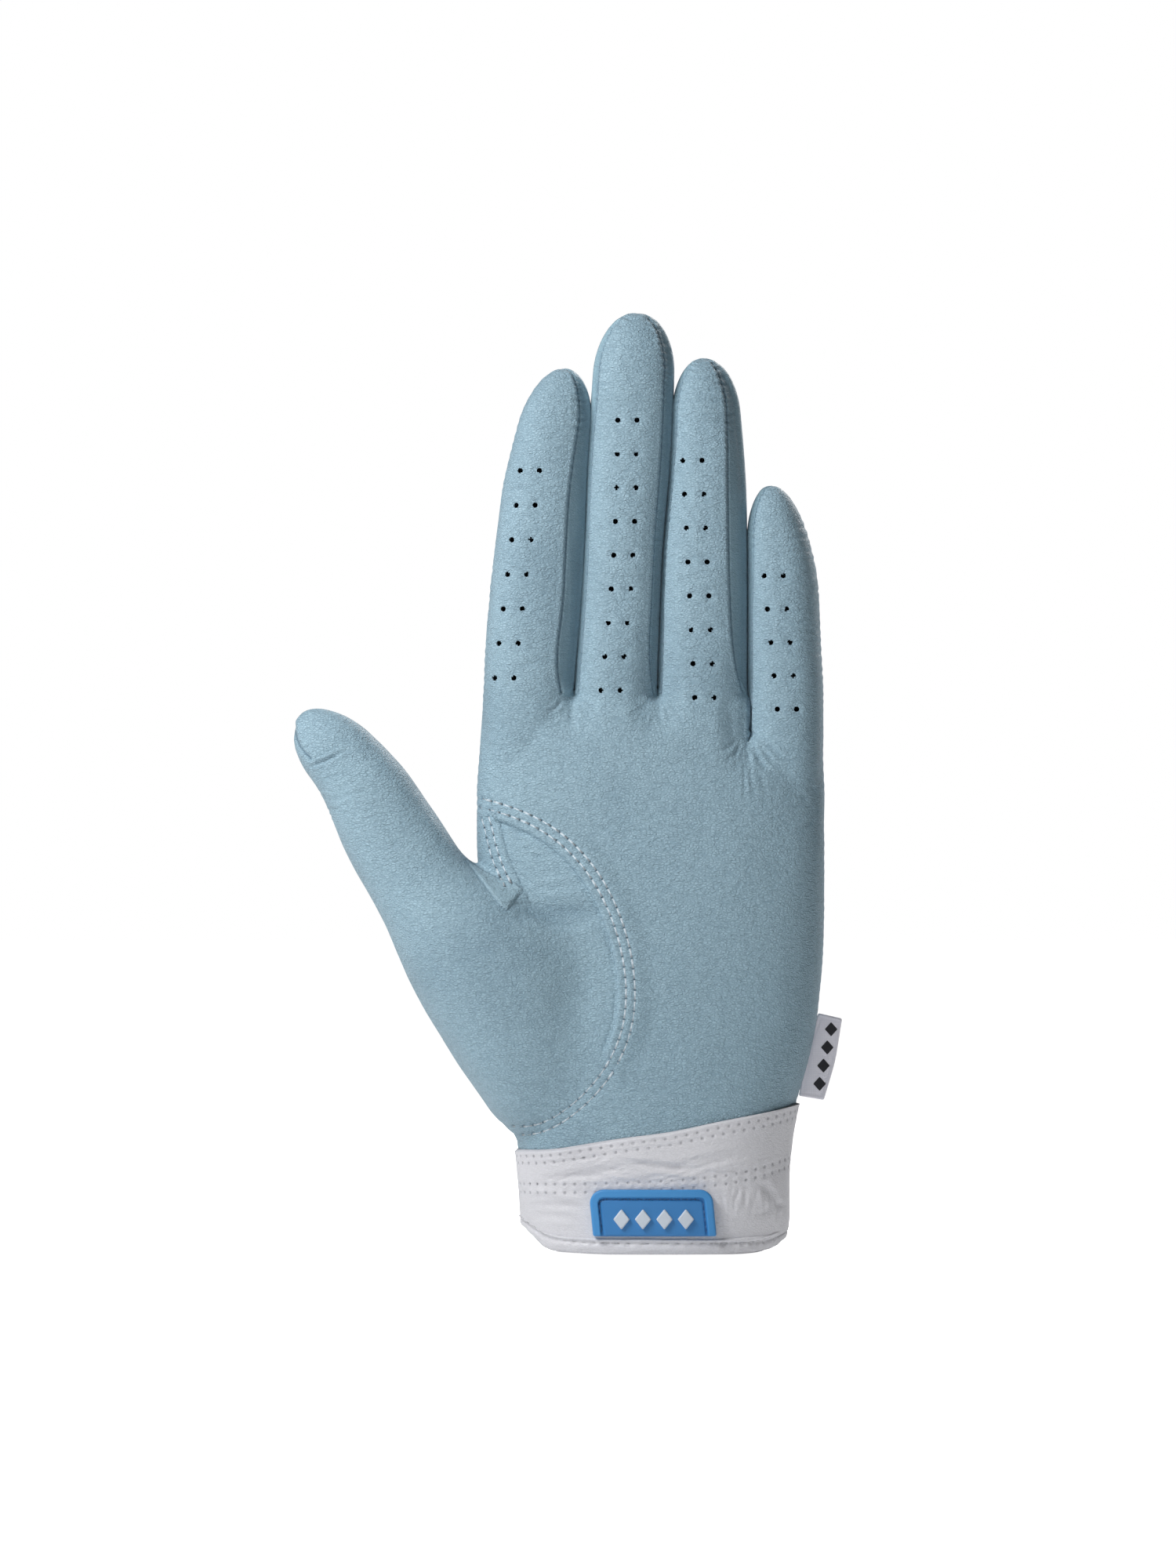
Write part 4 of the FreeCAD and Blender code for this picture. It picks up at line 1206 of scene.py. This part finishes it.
def merged_tree(surfaces):
    """One search tree over several (points, faces) surfaces."""
    points, faces, count = [], [], 0
    for p, f in surfaces:
        points.append(p * MM)
        faces.append(f + count)
        count += len(p)
    return BVHTree.FromPolygons(np.concatenate(points).tolist(), np.concatenate(faces).tolist())


# Cross-section of the bound rim from its outer edge, round the bottom and up inside: lift, and height as a
# share of the binding's own height.
BINDING_SECTION = [
    (0.95, 1.0), (1.5, 0.97), (1.75, 0.86), (1.35, 0.7), (1.6, 0.52), (1.65, 0.3), (1.3, 0.08), (0.6, 0.0),
    (-0.1, 0.04), (-0.8, 0.2), (-1.1, 0.5), (-1.2, 1.0),
]


def binding():
    """White leather folded over the cuff's lower edge and stitched through."""
    steps = np.arange(len(BINDING_SECTION))
    fine = np.linspace(0, steps[-1], 44)
    lift, share = (spline(steps, column)(fine)[None, :] for column in zip(*BINDING_SECTION))
    turn = np.linspace(*SLIT_TURNS, 560)[:, None]
    x = around(turn, 5.0, 1.0)[..., 0]
    bottom = np.maximum(BINDING_BOTTOM(x), 0.02)
    z = bottom + (BINDING_TOP(x) - bottom) * share
    outer = np.clip(lift / 1.2, 0, 1)
    along = turn * 0.45
    lift = lift - 0.6 * outer * smoothstep(23.0, 31.0, np.abs(x + 1))
    lift = lift + outer * (0.10 * np.sin(2 * np.pi * along / 2.3) * np.exp(-(((share - 0.62) / 0.2) ** 2)))
    points = around(turn, z, lift)
    shape = points.shape[:2]
    points = points.reshape(-1, 3)
    faces = grid_faces(*shape)
    normals = vertex_normals(points, faces)
    ringed = normals.reshape(*shape, 3)[:, 6]
    if np.sum(ringed * (points.reshape(*shape, 3)[:, 6] - WRIST_CENTRE) * np.array([1, 1, 0])) < 0:
        normals, faces = -normals, faces[:, ::-1]
    bumpy = 0.16 * noise(points, 5.0) + 0.07 * noise(points, 1.6)
    points = points + normals * (bumpy * (points[:, 2] > 0.6))[:, None]
    points[:, 2] = np.maximum(points[:, 2], 0.02)
    layers = {"lift": bumpy, "seam": np.full(len(points), 9.0), "tint": np.zeros(len(points))}
    piece = shell("cuff_rim_binding_skin", points, faces, vertex_normals(points, faces), 0.5, layers)
    dress(piece, "white")
    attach(piece, "palm")
    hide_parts("cuff_rim_binding")
    return points, faces


def cuff():
    slit_right, slit_left = SLIT_TURNS
    surfaces = [
        cuff_part("cuff_front_skin", (-180, 0), ("cuff_upper_band", "cuff_lower_band")),
        cuff_part("cuff_back_little_side_skin", (0, slit_right), ("cuff_back_little_side",)),
        cuff_part("cuff_back_thumb_side_skin", (slit_left, -180), ("cuff_back_thumb_side",)),
    ]
    rows = [settle(merged_tree(surfaces), row, WRIST_CENTRE) for row in cuff_rows()]
    rim = merged_tree([binding()])
    line = even_points(ring_line(SLIT_TURNS, lambda x: 0.7 * BINDING_TOP(x) + 0.3 * BINDING_BOTTOM(x), 1.4), 2.3)
    rows.append(settle(rim, line, WRIST_CENTRE))
    piece = stitches("cuff_stitches", rows, 0.15)
    dress(piece, "white_thread")
    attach(piece, "palm")


# ------------------------------------------------------------------ thin solids over an outline
def outline_of(corners, radii, step):
    """Closed outline through rounded corners, given anticlockwise as (x, z)."""
    corners = np.array(corners, float)
    line = []
    for i, (corner, radius) in enumerate(zip(corners, radii)):
        back, ahead = corners[i - 1] - corner, corners[(i + 1) % len(corners)] - corner
        back, ahead = back / np.linalg.norm(back), ahead / np.linalg.norm(ahead)
        half_angle = math.acos(back @ ahead) / 2
        middle = corner + (back + ahead) / np.linalg.norm(back + ahead) * radius / math.sin(half_angle)
        reach = radius / math.tan(half_angle)
        first, last = corner + back * reach - middle, corner + ahead * reach - middle
        for share in np.linspace(0, 1, 9):
            way = first * (1 - share) + last * share
            line.append(middle + way / np.linalg.norm(way) * radius)
    return even_points(np.array(line + line[:1]), step)[:-1]


def from_outline(q, outline):
    """Distance of (x, z) points from a closed outline."""
    return np.abs(curve_distance(q, np.r_[outline, outline[:1]])[0])


def edge_round(d, radius):
    """How much a face drops near its edge for a rounded rim."""
    return radius * (1 - np.sqrt(1 - np.clip(1 - d / radius, 0, 1) ** 2))


def plate(name, outline, step, place, top, bottom, tone=None):
    """Solid over an outline: top and bottom give its two faces as lifts at (x, z), d in from the edge."""
    low, high = outline.min(axis=0), outline.max(axis=0)
    half = (high - low) / 2
    spread = half - half.min()
    spine = np.clip(outline, (low + high) / 2 - spread, (low + high) / 2 + spread)
    rings = int(half.min() / step) + 2
    shares = np.linspace(1, 0, rings)[:, None, None]
    q = (spine + (outline - spine) * shares).reshape(-1, 2)
    d = from_outline(q, outline)
    upper, lower = (place(q[:, 0], q[:, 1], face(q, d)) for face in (top, bottom))
    faces = grid_faces(rings, len(outline), closed=True)
    k = np.arange(len(outline))
    following = (k + 1) % len(outline)
    wall = np.stack([k, following, following + len(q), k + len(q)], axis=1)
    values = np.zeros(len(q)) if tone is None else tone(q, d)
    clear = np.full(2 * len(q), 9.0)
    layers = {"lift": np.r_[values, values], "seam": clear, "tint": 0 * clear}
    everything = np.concatenate([faces, faces[:, ::-1] + len(q), wall])
    piece = make_object(name, np.r_[upper, lower], everything, layers=layers)
    mesh = bmesh.new()
    mesh.from_mesh(piece.data)
    bmesh.ops.remove_doubles(mesh, verts=mesh.verts, dist=0.01 * MM)
    bmesh.ops.recalc_face_normals(mesh, faces=mesh.faces)
    mesh.to_mesh(piece.data)
    mesh.free()
    return piece


def tree_of(piece):
    mesh = piece.data
    return BVHTree.FromPolygons([v.co for v in mesh.vertices], [f.vertices for f in mesh.polygons])


# ------------------------------------------------------------------ badge and tag
BADGE_LEFT, BADGE_RIGHT, BADGE_Z0, BADGE_Z1, BADGE_LEAN = -16.3, 12.5, 4.3, 15.2, 0.1
BADGE_RADII = (0.5, 0.5, 3.2, 3.2)
BADGE_BASE, BADGE_TOP, BADGE_BORDER, BADGE_RIDGE = 1.15, 2.7, 1.9, 0.5
MARKS, MARK_STEP, MARK_HEIGHT, MARK_WIDTH = 4, 5.0, 4.9, 3.9
MARKS_CENTRE = (-1.1, 8.3)


def badge_outline(inset=0.0, drop=0.0, step=0.16):
    """Outline of the badge, drawn in on every side but the lower one, which drops instead."""
    slip = BADGE_LEAN * (BADGE_Z1 - BADGE_Z0 + drop)
    left, right, high, low = BADGE_LEFT + inset, BADGE_RIGHT - inset, BADGE_Z1 - inset, BADGE_Z0 - drop
    corners = [(left + slip, low), (right + slip, low), (right, high), (left, high)]
    return outline_of(corners, [max(r - inset, 0.3) for r in BADGE_RADII], step)


def on_palm_side(x, z, lift):
    return on_wrist(x, z, lift, -1)


def badge():
    """Moulded rubber badge: a raised border, a stitched groove inside it, and a lower field with diamonds."""
    open_below = badge_outline(drop=10.0)

    def border(q, d):
        return 1 - smoothstep(BADGE_BORDER - 0.15, BADGE_BORDER + 0.1, from_outline(q, open_below))

    def top(q, d):
        inside = from_outline(q, open_below) - BADGE_BORDER
        groove = 0.3 * np.exp(-(((inside - 0.35) / 0.28) ** 2))
        return BADGE_TOP + BADGE_RIDGE * border(q, d) - groove - edge_round(d, 0.5)

    body = plate("badge_skin", badge_outline(), 0.16, on_palm_side, top, lambda q, d: np.full(len(q), BADGE_BASE), border)
    dress(body, "badge")
    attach(body, "palm")
    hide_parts("badge")
    path = badge_outline(BADGE_BORDER + 0.35, 10.0)
    path = even_points(path[path[:, 1] > BADGE_Z0 + 0.8], 1.75)
    piece = stitches("badge_stitches", [on_front(tree_of(body), path)], 0.2)
    dress(piece, "badge_thread")
    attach(piece, "palm")
    for i in range(MARKS):
        x, z = MARKS_CENTRE[0] + (i - (MARKS - 1) / 2) * MARK_STEP, MARKS_CENTRE[1]
        half_x, half_z = MARK_WIDTH / 2, MARK_HEIGHT / 2
        diamond = outline_of([(x, z - half_z), (x + half_x, z), (x, z + half_z), (x - half_x, z)], [0.3] * 4, 0.14)
        mark = plate(f"badge_mark_{i + 1}", diamond, 0.14, on_palm_side,
                     lambda q, d: BADGE_TOP + 0.75 - edge_round(d, 0.35), lambda q, d: np.full(len(q), BADGE_TOP - 0.3))
        dress(mark, "marks")
        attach(mark, "palm")
        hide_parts("badge_marks")


TAG = [(33.0, 36.6), (38.9, 35.6), (41.6, 44.6), (43.2, 54.7), (37.6, 56.0), (35.5, 50.0)]
TAG_RADII = (0.4, 0.4, 40.0, 0.4, 0.4, 1.0)


def side_tag():
    """Blank woven tag caught in the side seam."""
    def place(x, z, lift):
        sway = 0.5 * np.sin((z - 36) / 6.5) * (x - 35) / 7
        return np.stack([x, 0.4 + sway - lift, z], axis=1)

    def top(q, d):
        fold = 0.12 * np.exp(-(((d - 0.9) / 0.25) ** 2))
        return 0.34 - fold - edge_round(d, 0.25)

    def on_tag(x, z, lift):
        return place(x, z, lift + 0.34)

    piece = plate("side_tag_skin", outline_of(TAG, TAG_RADII, 0.3), 0.3, place, top, lambda q, d: -0.3 + edge_round(d, 0.2))
    dress(piece, "tag")
    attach(piece, "palm")
    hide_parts("side_tag")
    for i, (x, z) in enumerate(np.linspace((37.9, 39.4), (40.6, 52.2), MARKS)):
        diamond = outline_of([(x, z - 1.7), (x + 1.5, z), (x, z + 1.7), (x - 1.5, z)], [0.2] * 4, 0.14)
        mark = plate(f"tag_mark_{i + 1}", diamond, 0.14, on_tag,
                     lambda q, d: 0.12 - edge_round(d, 0.1), lambda q, d: np.full(len(q), -0.2))
        dress(mark, "ink")
        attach(mark, "palm")


# ------------------------------------------------------------------ slit, tab and linings at the back
def on_back(x, z, lift):
    return on_wrist(x, z, lift, 1)


STRIP_SECTION = [(-1.25, -0.5), (-1.1, 0.35), (-0.5, 0.62), (0.2, 0.6), (0.55, 0.3), (0.6, -0.4), (0.5, -1.2), (-1.2, -1.2)]


def slit_binding():
    """Folded strip that binds the edge of the slit, up one side, round its end and down the other."""
    half, step = SLIT_HALF, 0.6
    rise = np.arange(0.9, SLIT_TOP, step)
    arc = np.radians(np.linspace(180, 0, 12))
    x = np.r_[SLIT_X - half + 0 * rise, SLIT_X + half * np.cos(arc), SLIT_X + half + 0 * rise]
    z = np.r_[rise, SLIT_TOP + half * np.sin(arc), rise[::-1]]
    lift = 0.15 + 1.0 * smoothstep(31.0, 26.5, z) + 0.25 * noise(np.stack([x, 0 * x, z], axis=1), 7.0)
    path = on_back(x, z, lift)
    along = np.gradient(path, axis=0)
    along /= np.linalg.norm(along, axis=1)[:, None]
    out = on_back(x, z, lift + 1.0) - path
    out -= along * np.sum(out * along, axis=1)[:, None]
    out /= np.linalg.norm(out, axis=1)[:, None]
    side = np.cross(out, along)
    inward = np.stack([SLIT_X - path[:, 0], 0 * x, np.minimum(0, SLIT_TOP - z)], axis=1)
    side *= np.where(np.sum(side * inward, axis=1) < 0, -1, 1)[:, None]
    count = len(path)
    taper = np.minimum(1, 0.2 + np.minimum(np.arange(count), np.arange(count)[::-1]) / 3)[:, None, None]
    across, up = (np.array(column)[None, :, None] * taper for column in zip(*STRIP_SECTION))
    points = (path[:, None] + side[:, None] * across + out[:, None] * up).reshape(-1, 3)
    size = len(STRIP_SECTION)
    faces = grid_faces(count, size, closed=True)
    caps = [[(size * at + k) for k in four] for at in (0, count - 1) for four in ((0, 1, 2, 3), (0, 3, 4, 7), (4, 5, 6, 7))]
    flat = {"lift": np.zeros(len(points)), "seam": np.full(len(points), 9.0), "tint": np.zeros(len(points))}
    piece = make_object("slit_binding_skin", points, np.concatenate([faces, caps]), layers=flat)
    mesh = bmesh.new()
    mesh.from_mesh(piece.data)
    bmesh.ops.recalc_face_normals(mesh, faces=mesh.faces)
    mesh.to_mesh(piece.data)
    mesh.free()
    soften(piece, 2)
    dress(piece, "white")
    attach(piece, "palm")
    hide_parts("slit_binding")


def soften(piece, levels):
    subdivide = piece.modifiers.new("smooth", "SUBSURF")
    subdivide.levels = subdivide.render_levels = levels


TAB = [(-26.2, 7.0), (24.0, 7.0), (24.0, 29.0), (-26.2, 29.0)]
TAB_RADII = (1.0, 8.0, 8.0, 1.0)
TAB_INSET = 1.8


def bend_tab(piece):
    """Bakes the tab's placement into its mesh."""
    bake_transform(piece)


def tab_lift(q):
    ground = np.stack([q[:, 0], 0 * q[:, 0] + 20, q[:, 1]], axis=1)
    return 2.3 + 2.75 * smoothstep(-27.0, -19.5, q[:, 0]) + 0.22 * noise(ground, 9.0) + 0.08 * noise(ground, 3.0)


def closure_tab():
    """Padded leather tab, stitched round its edge, folded over from its root beside the slit."""
    outline = outline_of(TAB, TAB_RADII, 0.4)

    def top(q, d):
        groove = 0.24 * np.exp(-(((d - TAB_INSET) / 0.5) ** 2))
        return tab_lift(q) - groove - edge_round(d, 0.8)

    def bottom(q, d):
        return 0.9 + 2.9 * smoothstep(-22.0, -13.0, q[:, 0]) + edge_round(d, 0.4)

    # Painted shade: the lift layer this gives darkens the white leather along the stitch groove.
    def tone(q, d):
        return -0.5 * np.exp(-(((d - TAB_INSET) / 0.5) ** 2))

    piece = plate("closure_tab_skin", outline, 0.4, on_back, top, bottom, tone)
    tree = tree_of(piece)
    dress(piece, "white")
    bend_tab(piece)
    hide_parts("closure_tab", "tab_root")
    inner = [(x + TAB_INSET * (1 if x < 0 else -1), z + TAB_INSET * (1 if z < 18 else -1)) for x, z in TAB]
    path = outline_of(inner, [max(r - TAB_INSET, 0.5) for r in TAB_RADII], 0.3)
    holes = even_points(np.r_[path, path[:1]], CUFF_PITCH)
    over = on_back(holes[:, 0], holes[:, 1], tab_lift(holes) + 1.0)
    row = stitches("closure_tab_stitches", [settle(tree, over, WRIST_CENTRE)], 0.22)
    dress(row, "white_thread")
    bend_tab(row)


def pad(name, corners, radius, low, high, material, body):
    """Hook or loop side of the fastener: a soft pad with a rough face."""
    def top(q, d):
        ground = np.stack([q[:, 0], 0 * q[:, 0], q[:, 1]], axis=1)
        return high + 0.07 * noise(ground, 0.9) - edge_round(d, 0.5)

    piece = plate(f"{name}_skin", outline_of(corners, [radius] * 4, 0.3), 0.3, on_back, top,
                  lambda q, d: low + edge_round(d, 0.3))
    dress(piece, material)
    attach(piece, body)
    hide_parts(name)


def linings():
    """What lies out of sight: the shirred wrist elastic in front and the blank size label at the back."""
    turn = np.linspace(-158, -22, 300)[:, None]
    z = np.linspace(8.0, 14.0, 24)[None, :]
    pleat = 0.25 * np.sin(turn * 1.9) * np.sin(np.pi * (z - 8.0) / 6.0)
    points = around(turn, z, -1.6 + pleat)
    shape = points.shape[:2]
    points = points.reshape(-1, 3)
    normals, faces = outward(points, grid_faces(*shape))
    elastic = shell("wrist_elastic_skin", points, faces, normals, 0.6)
    dress(elastic, "elastic")
    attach(elastic, "palm")
    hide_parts("wrist_elastic")
    label = plate("size_label_skin", outline_of([(-24, 34), (-12, 34), (-12, 52), (-24, 52)], [1.0] * 4, 0.5), 0.5, on_back,
                  lambda q, d: np.full(len(q), -1.6), lambda q, d: np.full(len(q), -1.9))
    dress(label, "tag")
    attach(label, "palm")
    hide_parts("size_label")


# ------------------------------------------------------------------ stage, light and camera
def stage():
    bpy.ops.mesh.primitive_plane_add(size=12, location=(0, 0, -0.0004))
    floor = bpy.context.object
    floor.name = "floor"
    m = Nodes("pale_floor")
    patch = m.add("ShaderNodeTexNoise", Scale=3.0)
    tone = m.mix(m.math("MULTIPLY", patch.outputs["Fac"], 0.02), (1.0, 1.0, 1.0, 1.0), (0.96, 0.96, 0.97, 1.0))
    m.finish(tone, 0.9)
    m.link(tone, m.shader.inputs["Emission Color"])
    ray = m.add("ShaderNodeLightPath")
    m.link(ray.outputs["Is Camera Ray"], m.shader.inputs["Emission Strength"])
    floor.data.materials.append(m.material)


def area_light(name, place, target, size, power):
    light = bpy.data.lights.new(name, "AREA")
    light.shape, light.size, light.energy = "DISK", size, power
    obj = bpy.data.objects.new(name, light)
    obj.location = place
    obj.rotation_euler = (Vector(target) - Vector(place)).to_track_quat("-Z", "Y").to_euler()
    obj.visible_camera = False
    bpy.context.scene.collection.objects.link(obj)


AMBIENT = 0.09


def lights():
    world = bpy.data.worlds.new("studio")
    world.use_nodes = True
    sky = world.node_tree.nodes["Background"]
    sky.inputs["Color"].default_value = (1, 1, 1, 1)
    ray = world.node_tree.nodes.new("ShaderNodeLightPath")
    strength = world.node_tree.nodes.new("ShaderNodeMapRange")
    strength.inputs["To Min"].default_value = AMBIENT
    world.node_tree.links.new(ray.outputs["Is Camera Ray"], strength.inputs["Value"])
    world.node_tree.links.new(strength.outputs["Result"], sky.inputs["Strength"])
    bpy.context.scene.world = world
    middle = (0, 0, 0.11)
    area_light("key", (-0.34, -0.27, 0.42), middle, 0.22, 2.65)
    area_light("fill", (-0.1, -1.1, 0.3), middle, 0.8, 0.9)
    area_light("back", (0.5, 0.9, 0.7), middle, 0.6, 8.5)
    view = bpy.context.scene.view_settings
    view.view_transform, view.look = "Standard", "None"


CAMERA_DISTANCE, VIEW_HEIGHT, CAMERA_SENSOR = 3000.0, 367.6, 36.0
CAMERA_PLACE = Vector((-16.4, -CAMERA_DISTANCE, 109.7))


def camera():
    data = bpy.data.cameras.new("camera")
    data.lens, data.sensor_width = CAMERA_SENSOR * CAMERA_DISTANCE / VIEW_HEIGHT, CAMERA_SENSOR
    obj = bpy.data.objects.new("camera", data)
    obj.location = CAMERA_PLACE * MM
    obj.rotation_euler = (math.pi / 2, 0, 0)
    bpy.context.scene.collection.objects.link(obj)
    bpy.context.scene.camera = obj


# ------------------------------------------------------------------ everything
skin = hand_pieces()
thumb_stitches(skin)
cuff()
badge()
side_tag()
slit_binding()
closure_tab()
pad("loop_pad", [(2.5, 8.5), (23, 8.5), (23, 27.5), (2.5, 27.5)], 2.0, 1.2, 2.3, "loop", "palm")
pad("hook_pad", [(4, 10), (21.5, 10), (21.5, 26), (4, 26)], 4.0, 2.5, 3.7, "hook", "closure_tab")
linings()
stage()
lights()
camera()
